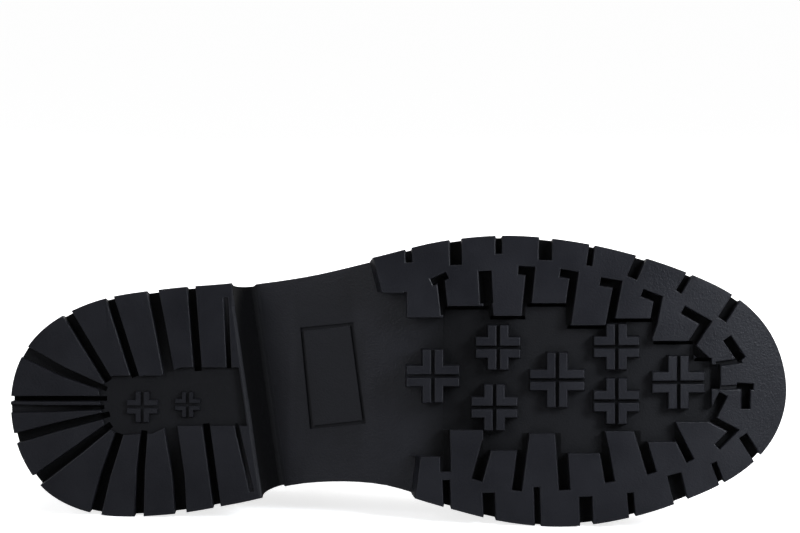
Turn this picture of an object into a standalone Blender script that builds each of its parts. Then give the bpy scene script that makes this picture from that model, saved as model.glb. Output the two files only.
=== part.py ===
"""A right-foot loafer on a lugged rubber sole, lying on its inner side.

Every piece is worked out in the shoe's own frame, in millimetres: X runs from the back of the heel to the
toe, Y to the inner (medial) side of the foot, Z up from the ground that the tread would stand on. The sole
pieces are cut flat and then raised onto the bottom line of the last. All pieces hang on one empty, which
lays the shoe down on its sole edge and its upper.
"""

import math
from bisect import bisect_right
from typing import NamedTuple

import bmesh
import bpy
from mathutils import Vector

# Sole, in millimetres.
SOLE_LENGTH = 275.0
FOREPART = 17.0  # thickness of the outsole under the ball
SOLE_FLARE = 3.0  # how far the side wall widens from its top to the ground
LUG_DEPTH = 5.5  # nothing below this height rides up with the heel
SLOT_DEPTH = 5.0
POOL_DEPTH = 5.2  # open middle of the forepart
POOL_START = 139.0
HUB_DEPTH = 2.0  # open middle of the heel
WAIST_FLOOR = 6.5  # underside of the waist, before it rides up
HEEL_PITCH = 15.0  # how much higher the heel seat stands than the ball
PITCH_BACK = 70.0
PITCH_FRONT = 165.0
TOE_SPRING = 9.0
SPRING_START = 195.0
BREAST_X = 83.7  # lip of the heel breast, on the shoe's middle
BREAST_SLANT = 0.142  # the breast runs forward towards the inner side
BREAST_LEAN = 8.0
BREAST_TOP = 19.4
BREAST_FALL = -0.0244  # its top comes down towards the inner side
STUD_ARM = 7.6
STUD_TOP = 0.3  # the studs stop short of the ground
REACH = 70.0  # past either side of the sole, for cutters
OVERLAP = 0.3  # how far cutters and joined pieces run past each other

# Layers on the outsole and the upper's wall.
GAP = 0.35
WELT = 3.0
WELT_INSET = 3.4
INSOLE = 4.0
INSOLE_INSET = 10.4
FEATHER_INSET = 7.0  # where the upper meets the welt
WALL = 2.2  # leather and lining together
STRAP = 1.8
STRAP_BACK = 153.0  # edges of the strap on the ridge
STRAP_FRONT = 177.0
BACK_WING = 22.0  # how much further each edge reaches at the welt
FRONT_WING = 5.0
STRAP_FOOT = 0.06  # the strap stops this share of a rib above the welt
TONGUE = 2.0
TONGUE_GAP = 1.1
TONGUE_BACK = 119.0
TONGUE_FRONT = 170.0
TONGUE_FLAT = 140.0  # behind here the tongue is flatter than the last
TONGUE_HALF = 26.0
TONGUE_ROUND = 9.0  # length of its rounded end
TONGUE_END = 0.7  # share of the half width that is left at the very end

# Last: how the ribs of the upper leave the welt and arrive on the ridge.
RIDGE_BACK = 38.0
RIDGE_FRONT = 244.0
FLARE = 5.0
RISE_HANDLE = 0.5
CROWN_HANDLE = 0.6
MEDIAL_LIFT = 1.5  # the topline stands a little higher on the inner side

# How the shoe lies on its inner side: a turn sets the edges of heel and ball level, and a tip towards the
# upper brings the quarter down to the floor beside them. The last three place the shoe's own origin.
LIE_TURN = math.radians(-1.37)
LIE_TIP = math.radians(5.37)
LIE_X = -137.54
LIE_Y = -52.17
LIE_Z = 42.26

OUTLINE_POINTS = 76
BEND_STEP = 9.5

METRE = 0.001


class Section(NamedTuple):
    """Half widths of the tread at one distance from the back of the heel."""

    x: float
    lateral: float
    medial: float


class Slot(NamedTuple):
    """A straight slot in the tread, from its outer to its inner end."""

    x0: float
    y0: float
    x1: float
    y1: float
    width: float


class Lug(NamedTuple):
    """Toe-side edge of a lug next to the open middle, and how far in the lug reaches."""

    x: float
    inner: float


class Ramp(NamedTuple):
    """A stretch of the floor between waist and open middle, from its heel-side to its toe-side edge."""

    back: float
    front: float
    lateral: float
    medial: float
    high: float
    low: float


HEEL_TIP_Y = 3.6
TOE_TIP_Y = -1.0
SECTIONS = (
    Section(4.0, -13.4, 22.4),
    Section(14.0, -24.9, 35.6),
    Section(32.0, -33.4, 42.8),
    Section(56.0, -37.3, 42.7),
    Section(80.0, -39.4, 38.8),
    Section(105.0, -42.9, 33.7),
    Section(130.0, -48.7, 33.8),
    Section(152.0, -54.0, 39.8),
    Section(175.0, -56.0, 45.4),
    Section(197.0, -54.2, 47.0),
    Section(220.0, -49.3, 43.6),
    Section(241.0, -42.2, 36.8),
    Section(258.0, -33.4, 28.4),
    Section(269.0, -21.8, 17.8),
)

HEEL_SLOTS = (
    Slot(75.4, -44, 77.2, -9, 1.4),
    Slot(63.4, -44, 66.2, -8, 2.5),
    Slot(49.2, -42, 56.4, -5, 3.5),
    Slot(33.2, -40, 44.0, -6, 2.5),
    Slot(15.5, -36, 34.6, -4.5, 3.0),
    Slot(0.5, -17, 34.0, -1.2, 3.0),
    Slot(-4.0, 2.9, 34.0, 2.9, 3.0),
    Slot(-3.0, 17, 35.0, 6.5, 2.9),
    Slot(4.5, 34, 35.5, 11, 3.4),
    Slot(28.6, 48, 38.4, 14, 3.4),
    Slot(45.2, 50, 47.2, 13, 2.5),
    Slot(60.6, 50, 56.8, 10.5, 3.8),
    Slot(73.8, 46, 69.0, 10.5, 2.3),
    Slot(87.0, 42, 79.7, 10.5, 1.4),
)
HUB = ((31.0, -2.0), (36.0, -6.4), (53.0, -6.4), (60.0, -9.3), (81.2, -9.3), (84.2, 11.3), (56.0, 11.3),
       (50.0, 14.0), (38.0, 14.6), (33.0, 11.0))

EDGE_NOTCHES = (
    Slot(140.2, -60, 140.8, -46.5, 2.0),
    Slot(157.0, -62, 157.4, -45.6, 3.9),
    Slot(172.5, -62, 172.5, -49.5, 2.0),
    Slot(189.3, -62, 188.9, -47.3, 4.4),
    Slot(206.5, -60, 204.5, -45.3, 1.7),
    Slot(225.5, -54, 219.6, -41.0, 3.4),
    Slot(243.5, -48, 236.2, -36.0, 1.9),
    Slot(260.0, -39, 251.7, -26.2, 3.0),
    Slot(154.6, 48, 153.9, 30.5, 2.3),
    Slot(169.6, 54, 168.9, 35.0, 4.0),
    Slot(186.6, 56, 185.9, 33.0, 1.9),
    Slot(203.9, 56, 203.2, 36.3, 4.3),
    Slot(220.5, 52, 219.0, 35.0, 2.0),
    Slot(239.0, 46, 234.6, 28.5, 4.8),
    Slot(254.0, 38, 248.8, 24.5, 1.7),
    Slot(267.0, 27, 259.2, 15.0, 3.0),
)
LATERAL_SLOTS = (
    Slot(151.9, -42.0, 153.4, -28.0, 2.3),
    Slot(167.6, -43.4, 169.3, -26.0, 3.4),
    Slot(183.7, -44.6, 182.0, -26.5, 2.8),
    Slot(199.1, -43.0, 196.4, -23.0, 2.6),
    Slot(214.5, -39.8, 211.4, -22.5, 2.6),
    Slot(228.9, -34.6, 224.4, -17.0, 2.6),
    Slot(246.6, -26.4, 240.4, -16.8, 2.8),
    Slot(253.5, -19.6, 258.8, -12.0, 3.0),
    Slot(249.3, -10.3, 249.3, -1.6, 3.4),
    Slot(260.4, -3.0, 260.2, 5.5, 2.9),
)
MEDIAL_SLOTS = (
    Slot(153.7, 27.5, 153.3, 9.0, 3.4),
    Slot(164.8, 30.5, 168.6, 17.0, 3.6),
    Slot(178.9, 34.2, 181.7, 13.0, 3.2),
    Slot(195.8, 34.0, 194.4, 13.0, 3.7),
    Slot(211.8, 31.2, 208.0, 12.0, 3.2),
    Slot(226.7, 28.2, 221.8, 12.0, 3.2),
    Slot(240.4, 23.8, 233.2, 9.6, 2.6),
    Slot(252.2, 0.2, 247.6, 9.4, 3.0),
    Slot(255.8, 13.2, 250.0, 18.9, 2.2),
)
LATERAL_LUGS = (
    Lug(140.0, -36.0),
    Lug(153.0, -27.0),
    Lug(169.0, -31.0),
    Lug(182.0, -27.5),
    Lug(196.3, -32.0),
    Lug(211.5, -24.2),
    Lug(226.0, -26.6),
    Lug(239.5, -18.6),
    Lug(248.0, -12.6),
)
MEDIAL_LUGS = (
    Lug(153.0, 22.2),
    Lug(167.0, 12.8),
    Lug(180.8, 20.0),
    Lug(194.6, 14.0),
    Lug(209.0, 21.0),
    Lug(223.0, 13.2),
    Lug(235.0, 17.0),
    Lug(248.0, 10.0),
)
# Toe end of the waist, round the heel-side faces of the first lugs.
FIRST_LUGS = ((121.0, -REACH), (129.5, -36.0), (139.5, -36.0), (141.0, 22.2), (143.2, 22.2), (137.0, REACH))
RAMPS = (
    Ramp(139.0, 152.9, -26.9, 22.1, WAIST_FLOOR, WAIST_FLOOR),
    Ramp(152.88, 168.9, -30.9, 12.7, WAIST_FLOOR, 5.6),
    Ramp(168.88, 180.7, -27.4, 19.9, 5.6, 5.1),
)
STUDS = ((149.2, -6.3, 19.0), (172.3, -16.4, 16.0), (171.0, 4.8, 16.6), (193.2, -4.9, 19.6),
         (214.2, -16.6, 16.4), (214.2, 2.6, 16.4), (236.2, -4.0, 19.0))

# The ridge of the last and the collar's topline: x, then y (ridge only), then z.
RIDGE = (
    (38.0, 5.0, 142.0),
    (75.0, 8.0, 138.0),
    (105.0, 9.0, 122.0),
    (130.0, 7.5, 102.0),
    (150.0, 5.0, 86.5),
    (172.0, 2.5, 71.5),
    (198.0, 0.5, 60.0),
    (222.0, -0.8, 53.5),
    (244.0, -1.5, 49.0),
)
TOPLINE = ((0.0, 95.0), (14.0, 92.5), (42.0, 84.5), (75.0, 79.0), (105.0, 79.0), (130.0, 82.5), (155.0, 88.0))


def smooth(knots, at):
    """Value at a position, on a smooth curve through (position, value) knots in rising order."""
    positions = [knot[0] for knot in knots]
    at = min(max(at, positions[0]), positions[-1])
    i = min(bisect_right(positions, at) - 1, len(knots) - 2)
    (p0, q0), (p1, q1) = knots[i], knots[i + 1]
    before = knots[max(i - 1, 0)]
    after = knots[min(i + 2, len(knots) - 1)]
    slope0 = (q1 - before[1]) / (p1 - before[0])
    slope1 = (after[1] - q0) / (after[0] - p0)
    s = (at - p0) / (p1 - p0)
    return (q0 * (1 + 2 * s) * (1 - s) ** 2 + slope0 * (p1 - p0) * s * (1 - s) ** 2
            + q1 * s * s * (3 - 2 * s) + slope1 * (p1 - p0) * s * s * (s - 1))


def turn_of(x):
    """Position round the sole, as an angle from the heel tip, that stands at x on the lateral side."""
    return math.acos(1.0 - 2.0 * x / SOLE_LENGTH)


def outline_knots():
    """Tread edge as (turn, y) knots: heel tip, lateral side, toe tip, medial side, and one more lap."""
    lateral = [(turn_of(row.x), row.lateral) for row in SECTIONS]
    medial = [(2 * math.pi - turn_of(row.x), row.medial) for row in reversed(SECTIONS)]
    lap = [(0.0, HEEL_TIP_Y)] + lateral + [(math.pi, TOE_TIP_Y)] + medial
    return ([(medial[-1][0] - 2 * math.pi, medial[-1][1])] + lap
            + [(turn + 2 * math.pi, y) for turn, y in lap[:2]])


OUTLINE = outline_knots()


def edge(turn, inset=0.0):
    """Point of the sole's outline, moved in by an inset, as seen from above."""
    def on_tread(angle):
        angle %= 2 * math.pi
        return Vector((SOLE_LENGTH * (1 - math.cos(angle)) / 2, smooth(OUTLINE, angle)))

    step = 0.02
    along = (on_tread(turn + step) - on_tread(turn - step)).normalized()
    outward = Vector((along.y, -along.x))
    return on_tread(turn) - inset * outward, outward


def ease(value, low, high):
    """Zero below low, one above high, and a soft step between."""
    s = min(max((value - low) / (high - low), 0.0), 1.0)
    return s * s * (3 - 2 * s)


def rise(x, z):
    """How far a point of the flat sole rides up on the bottom line of the last."""
    pitch = HEEL_PITCH * (1 - ease(x, PITCH_BACK, PITCH_FRONT))
    above_lugs = min(max((z - LUG_DEPTH) / (WAIST_FLOOR - LUG_DEPTH), 0.0), 1.0)
    spring = TOE_SPRING * (max(x - SPRING_START, 0.0) / (SOLE_LENGTH - SPRING_START)) ** 2
    return pitch * above_lugs + spring


def outline_loop(inset):
    """Points of the outline at an inset, once round from the heel tip."""
    return [edge(2 * math.pi * i / OUTLINE_POINTS, inset)[0] for i in range(OUTLINE_POINTS)]


def prism(mesh, lower, upper, bottom, tops):
    """Add a closed solid between two polygons with as many corners; tops holds a height for each corner."""
    floor = [mesh.verts.new((x, y, bottom)) for x, y in lower]
    roof = [mesh.verts.new((x, y, top)) for (x, y), top in zip(upper, tops, strict=True)]
    faces = [mesh.faces.new(floor), mesh.faces.new(roof)]
    for i in range(len(floor)):
        j = (i + 1) % len(floor)
        faces.append(mesh.faces.new((floor[i], floor[j], roof[j], roof[i])))
    bmesh.ops.recalc_face_normals(mesh, faces=faces)


def block(mesh, corners, bottom, top):
    """Add an upright solid with a level top."""
    prism(mesh, corners, corners, bottom, [top] * len(corners))


def slot_corners(slot):
    """The four corners of a slot."""
    start = Vector((slot.x0, slot.y0))
    end = Vector((slot.x1, slot.y1))
    along = (end - start).normalized()
    side = Vector((-along.y, along.x)) * slot.width / 2
    return [start - side, end - side, end + side, start + side]


def cross_corners(x, y, size):
    """The twelve corners of a cross stud."""
    long = size / 2
    short = STUD_ARM / 2
    quarter = [(long, -short), (long, short), (short, short)]
    corners = []
    for turn in range(4):
        for u, v in quarter:
            for _ in range(turn):
                u, v = -v, u
            corners.append((x + u, y + v))
    return corners


def pool_corners():
    """The stepped border of the forepart's open middle, along the lateral lugs and back."""
    corners = []
    x = POOL_START
    for lug in LATERAL_LUGS:
        corners += [(x, lug.inner), (lug.x, lug.inner)]
        x = lug.x
    back = []
    x = POOL_START
    for lug in MEDIAL_LUGS:
        back += [(x, lug.inner), (lug.x, lug.inner)]
        x = lug.x
    return corners + back[::-1]


def across_sole(shift):
    """The two ends of a line parallel to the lip of the heel breast."""
    return [(BREAST_X + shift + BREAST_SLANT * y, y) for y in (REACH, -REACH)]


def waist_corners():
    """Border of the waist: foot of the heel breast, lateral side, first lugs, medial side."""
    return across_sole(BREAST_LEAN) + list(FIRST_LUGS)


def mesh_object(name, mesh, collection):
    """Turn a bmesh into an object."""
    data = bpy.data.meshes.new(name)
    mesh.to_mesh(data)
    mesh.free()
    thing = bpy.data.objects.new(name, data)
    collection.objects.link(thing)
    return thing


def cut(thing, name, fill, operation, collection):
    """Add a Boolean modifier whose other body is drawn by a function."""
    mesh = bmesh.new()
    fill(mesh)
    cutter = mesh_object(name, mesh, collection)
    cutter.hide_render = True
    cutter.display_type = "WIRE"
    modifier = thing.modifiers.new(name, "BOOLEAN")
    modifier.operation = operation
    modifier.solver = "EXACT"
    modifier.use_self = True  # the slots run into each other at the hub
    modifier.object = cutter


def bake(thing):
    """Make an object's cuts part of its mesh."""
    graph = bpy.context.evaluated_depsgraph_get()
    baked = bpy.data.meshes.new_from_object(thing.evaluated_get(graph))
    thing.modifiers.clear()
    thing.data = baked


def raise_onto_last(thing):
    """Score the mesh across so that it can bend, and raise it onto the last."""
    bake(thing)
    mesh = bmesh.new()
    mesh.from_mesh(thing.data)
    x = PITCH_BACK
    while x < SOLE_LENGTH:
        if not PITCH_FRONT + BEND_STEP < x < SPRING_START:
            everything = mesh.verts[:] + mesh.edges[:] + mesh.faces[:]
            bmesh.ops.bisect_plane(mesh, geom=everything, dist=1e-4, plane_co=(x, 0, 0), plane_no=(1, 0, 0))
        x += BEND_STEP
    bmesh.ops.triangulate(mesh, faces=mesh.faces[:])
    for vert in mesh.verts:
        vert.co.z += rise(vert.co.x, vert.co.z)
    mesh.to_mesh(thing.data)
    mesh.free()


def draw_waist(cutter):
    """Draw what is cut away under the waist, and the floor that runs on from it."""
    block(cutter, waist_corners(), -1.0, WAIST_FLOOR)
    for ramp in RAMPS:
        corners = [(ramp.back, ramp.lateral), (ramp.front, ramp.lateral), (ramp.front, ramp.medial),
                   (ramp.back, ramp.medial)]
        prism(cutter, corners, corners, -1.0, [ramp.high, ramp.low, ramp.low, ramp.high])


def draw_middles(cutter):
    """Draw the open middles of forepart and heel."""
    block(cutter, pool_corners(), -1.0, POOL_DEPTH)
    block(cutter, HUB, -1.0, HUB_DEPTH)


def draw_slots(cutter):
    """Draw every slot and edge notch."""
    for slot in HEEL_SLOTS + EDGE_NOTCHES + LATERAL_SLOTS + MEDIAL_SLOTS:
        block(cutter, slot_corners(slot), -1.0, SLOT_DEPTH)


def draw_studs(joined):
    """Draw the cross studs, down into the floor that they stand on."""
    for x, y, size in STUDS:
        block(joined, cross_corners(x, y, size), STUD_TOP, WAIST_FLOOR + OVERLAP)


def draw_breast(cutter):
    """Draw the leaning face of the heel breast, up to the underside of the waist."""
    front = across_sole(BREAST_LEAN + OVERLAP)[::-1]
    upper = across_sole(BREAST_LEAN - OVERLAP) + front
    prism(cutter, across_sole(0.0) + front, upper, -0.5, [BREAST_TOP + BREAST_FALL * y for _, y in upper])


def build_outsole(parts, cutters):
    """The moulded unit: lugs, slots and studs are cut flat, then the whole is raised onto the last."""
    mesh = bmesh.new()
    outline = outline_loop(0.0)
    prism(mesh, outline, outline_loop(SOLE_FLARE), 0.0, [FOREPART] * len(outline))
    sole = mesh_object("outsole", mesh, parts)
    cut(sole, "cut_waist", draw_waist, "DIFFERENCE", cutters)
    cut(sole, "cut_middles", draw_middles, "DIFFERENCE", cutters)
    cut(sole, "cut_slots", draw_slots, "DIFFERENCE", cutters)
    cut(sole, "add_studs", draw_studs, "UNION", cutters)
    raise_onto_last(sole)
    cut(sole, "cut_breast", draw_breast, "DIFFERENCE", cutters)
    bake(sole)
    return sole


def build_plate(name, inset, bottom, thickness, parts):
    """A flat layer of the sole, raised onto the last."""
    mesh = bmesh.new()
    block(mesh, outline_loop(inset), bottom, bottom + thickness)
    plate = mesh_object(name, mesh, parts)
    raise_onto_last(plate)
    return plate


def ridge_x(turn):
    """Where the rib that starts at a turn arrives on the ridge."""
    share = (1 - math.cos(turn)) / 2
    return RIDGE_BACK + (RIDGE_FRONT - RIDGE_BACK) * share


def turn_to_ridge(x):
    """The lateral turn whose rib arrives on the ridge at x."""
    return turn_of(SOLE_LENGTH * (x - RIDGE_BACK) / (RIDGE_FRONT - RIDGE_BACK))


def ridge_point(x):
    """Point of the last's ridge."""
    return Vector((x, smooth([row[:2] for row in RIDGE], x), smooth([row[::2] for row in RIDGE], x)))


def rib(turn, v):
    """Point of the last's surface: v runs from 0 at the welt to 1 on the ridge."""
    foot, outward = edge(turn, FEATHER_INSET)
    seat = FOREPART + 2 * GAP + WELT
    start = Vector((foot.x, foot.y, seat + rise(foot.x, seat)))
    x = ridge_x(turn)
    end = ridge_point(x)
    slope = end.z - ridge_point(x - 1.0).z
    across = (end - start).xy
    arrive = Vector((across.x, across.y, slope * across.x))
    leave = Vector((outward.x * FLARE, outward.y * FLARE, RISE_HANDLE * (end.z - start.z)))
    w = 1 - v
    return (w ** 3 * start + 3 * w * w * v * (start + leave)
            + 3 * w * v * v * (end - CROWN_HANDLE * arrive) + v ** 3 * end)


def last_v(turn, passed):
    """The highest v of a rib for which a test on its point still fails, or 1 where it never passes."""
    if not passed(rib(turn, 1.0)):
        return 1.0
    low, high = 0.0, 1.0
    for _ in range(30):
        middle = (low + high) / 2
        if passed(rib(turn, middle)):
            high = middle
        else:
            low = middle
    return low


def over_topline(point):
    """Whether a point of the last lies above the collar's topline."""
    lift = MEDIAL_LIFT * ease(point.y, -20.0, 20.0) * ease(point.x, 10.0, 40.0)
    return point.z > smooth(TOPLINE, point.x) + lift * (1 - ease(point.x, 110.0, 145.0))


def rib_turns():
    """Turns of the lateral ribs from heel tip to toe tip, closer together beside the throat."""
    stops = (0.0, turn_of(105.0), turn_of(148.0), math.pi)
    counts = (15, 9, 20)
    turns = []
    for start, end, count in zip(stops, stops[1:], counts):
        turns += [start + (end - start) * i / count for i in range(count)]
    return turns + [math.pi]


def build_upper(parts):
    """The leather wall: ribs from the welt to the topline, or over the ridge in front of the throat."""
    rows = 12
    lateral = rib_turns()
    turns = lateral + [2 * math.pi - turn for turn in lateral[-2:0:-1]]
    mesh = bmesh.new()
    grid = []
    for turn in turns:
        top = last_v(turn, over_topline)
        grid.append([mesh.verts.new(rib(turn, top * (i / rows))) for i in range(rows + 1)])
    for here, there in zip(grid, grid[1:] + grid[:1]):
        for i in range(rows):
            mesh.faces.new((here[i], there[i], there[i + 1], here[i + 1]))
    bmesh.ops.remove_doubles(mesh, verts=mesh.verts[:], dist=0.05)
    upper = mesh_object("upper", mesh, parts)
    wall = upper.modifiers.new("wall", "SOLIDIFY")
    wall.thickness = WALL
    wall.offset = -1.0
    wall.use_even_offset = True
    return upper


def skin(name, grid, clearance, thickness, parts):
    """A strip of the last's surface: moved off it by a clearance and given a thickness the same way."""
    mesh = bmesh.new()
    verts = [[mesh.verts.new(point) for point in row] for row in grid]
    for here, there in zip(verts, verts[1:]):
        for i in range(len(here) - 1):
            mesh.faces.new((here[i], here[i + 1], there[i + 1], there[i]))
    mesh.normal_update()
    moves = [(vert, vert.normal * clearance) for vert in mesh.verts]
    for vert, move in moves:
        vert.co += move
    strip = mesh_object(name, mesh, parts)
    wall = strip.modifiers.new("wall", "SOLIDIFY")
    wall.thickness = thickness
    wall.offset = math.copysign(1.0, clearance)
    return strip


def build_strap(parts):
    """The saddle strap: a band over the vamp in front of the throat, with wider wings at the welt."""
    columns = 6
    steps = 12
    grid = []
    for step in range(-steps, steps + 1):
        share = 1 - abs(step) / steps
        v = STRAP_FOOT + (1 - STRAP_FOOT) * share
        wing = 1 - ease(share, 0.0, 0.8)
        back = STRAP_BACK - BACK_WING * wing
        front = STRAP_FRONT + FRONT_WING * wing
        row = []
        for column in range(columns + 1):
            turn = turn_to_ridge(back + (front - back) * column / columns)
            row.append(rib(turn if step <= 0 else 2 * math.pi - turn, v))
        grid.append(row)
    return skin("saddle_strap", grid, GAP, STRAP, parts)


def build_tongue(parts):
    """The tongue: from under the strap up through the throat, flatter towards its rounded end."""
    lengths, widths = 14, 5
    grid = []
    for i in range(-widths, widths + 1):
        row = []
        for j in range(lengths + 1):
            s = j / lengths
            x = TONGUE_BACK + (TONGUE_FRONT - TONGUE_BACK) * s * s * (2 - s)
            rounding = min((x - TONGUE_BACK) / TONGUE_ROUND, 1.0)
            full = TONGUE_END + (1 - TONGUE_END) * math.sqrt(1 - (1 - rounding) ** 2)
            reach = TONGUE_HALF * full * abs(i) / widths
            turn = turn_to_ridge(x)
            turn = turn if i <= 0 else 2 * math.pi - turn
            top = ridge_point(x)
            point = rib(turn, last_v(turn, lambda here: (here - top).length < reach))
            point.z += 0.5 * (top.z - point.z) * (1 - ease(x, TONGUE_BACK, TONGUE_FLAT))
            row.append(point)
        grid.append(row)
    return skin("tongue", grid, -(WALL + TONGUE_GAP), TONGUE, parts)


def finish(thing, name, colour, roughness, smoothed):
    """Give a piece its own material, in metres, hung on nothing yet."""
    material = bpy.data.materials.new(name)
    material.use_nodes = True
    shader = material.node_tree.nodes["Principled BSDF"]
    shader.inputs["Base Color"].default_value = (*colour, 1.0)
    shader.inputs["Roughness"].default_value = roughness
    shader.inputs["Metallic"].default_value = 0.0
    thing.data.materials.append(material)
    if smoothed:
        thing.data.shade_smooth()


def main():
    """Build the loafer and lay it down."""
    for thing in list(bpy.data.objects):
        bpy.data.objects.remove(thing, do_unlink=True)
    parts = bpy.data.collections.new("lug_sole_loafer")
    cutters = bpy.data.collections.new("cutters")
    bpy.context.scene.collection.children.link(parts)
    bpy.context.scene.collection.children.link(cutters)

    rubber = (0.012, 0.012, 0.013)
    leather = (0.010, 0.010, 0.011)
    lining = (0.055, 0.045, 0.036)
    seat = FOREPART + GAP
    pieces = (
        (build_outsole(parts, cutters), rubber, 0.55, False),
        (build_plate("welt", WELT_INSET, seat, WELT, parts), rubber, 0.5, False),
        (build_plate("insole", INSOLE_INSET, seat + WELT + GAP, INSOLE, parts), lining, 0.8, False),
        (build_upper(parts), leather, 0.35, True),
        (build_strap(parts), leather, 0.35, True),
        (build_tongue(parts), leather, 0.4, True),
    )
    for cutter in list(cutters.objects):
        bpy.data.objects.remove(cutter, do_unlink=True)

    shoe = bpy.data.objects.new("shoe", None)
    parts.objects.link(shoe)
    shoe.rotation_mode = "ZYX"
    shoe.rotation_euler = (-math.pi / 2 - LIE_TIP, 0.0, LIE_TURN)
    shoe.location = Vector((LIE_X, LIE_Y, LIE_Z)) * METRE
    shoe.scale = (METRE, METRE, METRE)
    for piece, colour, roughness, smoothed in pieces:
        finish(piece, f"{piece.name}_finish", colour, roughness, smoothed)
        piece.parent = shoe


main()
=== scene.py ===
"""A right-foot loafer on a lugged rubber sole, finished for the studio.

Every piece is drawn in the shoe's own frame, in millimetres: X runs from the back of the heel to the toe,
Y to the inner side of the foot, Z up from the ground under the tread. Lay then takes each mesh to the
model's frame, in metres, where the shoe lies on its inner side.
"""

import logging
import math
from bisect import bisect_right
from collections.abc import Callable, Iterator, Sequence
from dataclasses import dataclass, replace
from enum import Enum
from functools import cache, cached_property
from typing import NamedTuple

import bmesh
import bpy
from bmesh.types import BMEdge, BMesh, BMFace, BMVert
from mathutils import Matrix, Vector


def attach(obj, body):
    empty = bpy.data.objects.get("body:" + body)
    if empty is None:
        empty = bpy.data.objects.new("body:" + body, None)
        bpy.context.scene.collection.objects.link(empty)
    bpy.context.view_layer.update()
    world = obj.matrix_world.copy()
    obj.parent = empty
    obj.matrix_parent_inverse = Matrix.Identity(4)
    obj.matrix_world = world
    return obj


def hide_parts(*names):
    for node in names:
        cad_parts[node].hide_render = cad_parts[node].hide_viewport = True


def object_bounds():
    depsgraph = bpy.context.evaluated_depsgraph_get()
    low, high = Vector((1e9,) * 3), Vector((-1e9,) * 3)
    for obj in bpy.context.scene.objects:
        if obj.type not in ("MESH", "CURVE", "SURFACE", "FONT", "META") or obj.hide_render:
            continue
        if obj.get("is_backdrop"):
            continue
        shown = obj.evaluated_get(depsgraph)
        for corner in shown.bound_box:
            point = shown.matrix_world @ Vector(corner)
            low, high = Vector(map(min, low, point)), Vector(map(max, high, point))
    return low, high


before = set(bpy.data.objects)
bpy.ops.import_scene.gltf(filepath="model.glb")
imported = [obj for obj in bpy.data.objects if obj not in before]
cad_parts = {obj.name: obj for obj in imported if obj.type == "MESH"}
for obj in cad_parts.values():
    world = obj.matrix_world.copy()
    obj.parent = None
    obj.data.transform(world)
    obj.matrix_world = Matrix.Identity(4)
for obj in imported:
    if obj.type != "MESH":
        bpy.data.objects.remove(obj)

MM = 0.001
FULL_TURN = 2 * math.pi
SAME_PLACE = 1e-4
SOLE_POINTS = 176
WAIST_FLOOR = 6.5
UNDERGROUND = -1.0  # every cut into the tread starts here, below the ground
REACH = 70.0  # farther out than the sole is wide anywhere

log = logging.getLogger("loafer")


# ---------------------------------------------------------------------------------------------------------
# Shape of the shoe: sole outline, bottom line and last
# ---------------------------------------------------------------------------------------------------------


class Station(NamedTuple):
    """Half widths of the tread at one distance from the back of the heel."""

    x: float
    lateral: float
    medial: float


class RidgeRow(NamedTuple):
    """One point of the last's ridge."""

    x: float
    y: float
    z: float


class CollarRow(NamedTuple):
    """Height of the collar's edge at one distance from the back of the heel."""

    x: float
    z: float


STATIONS = (
    Station(4.0, -13.4, 22.4),
    Station(14.0, -24.9, 35.6),
    Station(32.0, -33.4, 42.8),
    Station(56.0, -37.3, 42.7),
    Station(80.0, -39.4, 38.8),
    Station(105.0, -42.9, 33.7),
    Station(130.0, -48.7, 33.8),
    Station(152.0, -54.0, 39.8),
    Station(175.0, -56.0, 45.4),
    Station(197.0, -54.2, 47.0),
    Station(220.0, -49.3, 43.6),
    Station(241.0, -42.2, 36.8),
    Station(258.0, -33.4, 28.4),
    Station(269.0, -21.8, 17.8),
)
RIDGE = (
    RidgeRow(38.0, 5.0, 142.0),
    RidgeRow(75.0, 8.0, 138.0),
    RidgeRow(105.0, 9.0, 122.0),
    RidgeRow(130.0, 7.5, 102.0),
    RidgeRow(150.0, 5.0, 86.5),
    RidgeRow(172.0, 2.5, 71.5),
    RidgeRow(198.0, 0.5, 60.0),
    RidgeRow(222.0, -0.8, 53.5),
    RidgeRow(244.0, -1.5, 49.0),
)
COLLAR = (
    CollarRow(0.0, 95.0),
    CollarRow(14.0, 92.5),
    CollarRow(42.0, 84.5),
    CollarRow(75.0, 79.0),
    CollarRow(105.0, 79.0),
    CollarRow(130.0, 82.5),
    CollarRow(155.0, 88.0),
)


def smooth(knots: Sequence[tuple[float, float]], at: float) -> float:
    """Read a value off a smooth curve.

    Args:
        knots: (position, value) pairs in rising order of position.
        at: The position; outside the knots the end value holds.

    Returns:
        The value there.
    """
    positions = [knot[0] for knot in knots]
    at = min(max(at, positions[0]), positions[-1])
    i = min(bisect_right(positions, at) - 1, len(knots) - 2)
    (p0, q0), (p1, q1) = knots[i], knots[i + 1]
    before = knots[max(i - 1, 0)]
    after = knots[min(i + 2, len(knots) - 1)]
    slope0 = (q1 - before[1]) / (p1 - before[0])
    slope1 = (after[1] - q0) / (after[0] - p0)
    s = (at - p0) / (p1 - p0)
    return (q0 * (1 + 2 * s) * (1 - s) ** 2 + slope0 * (p1 - p0) * s * (1 - s) ** 2
            + q1 * s * s * (3 - 2 * s) + slope1 * (p1 - p0) * s * s * (s - 1))


def ease(value: float, low: float, high: float) -> float:
    """Zero below low, one above high, and a soft step between."""
    s = min(max((value - low) / (high - low), 0.0), 1.0)
    return s * s * (3 - 2 * s)


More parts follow.
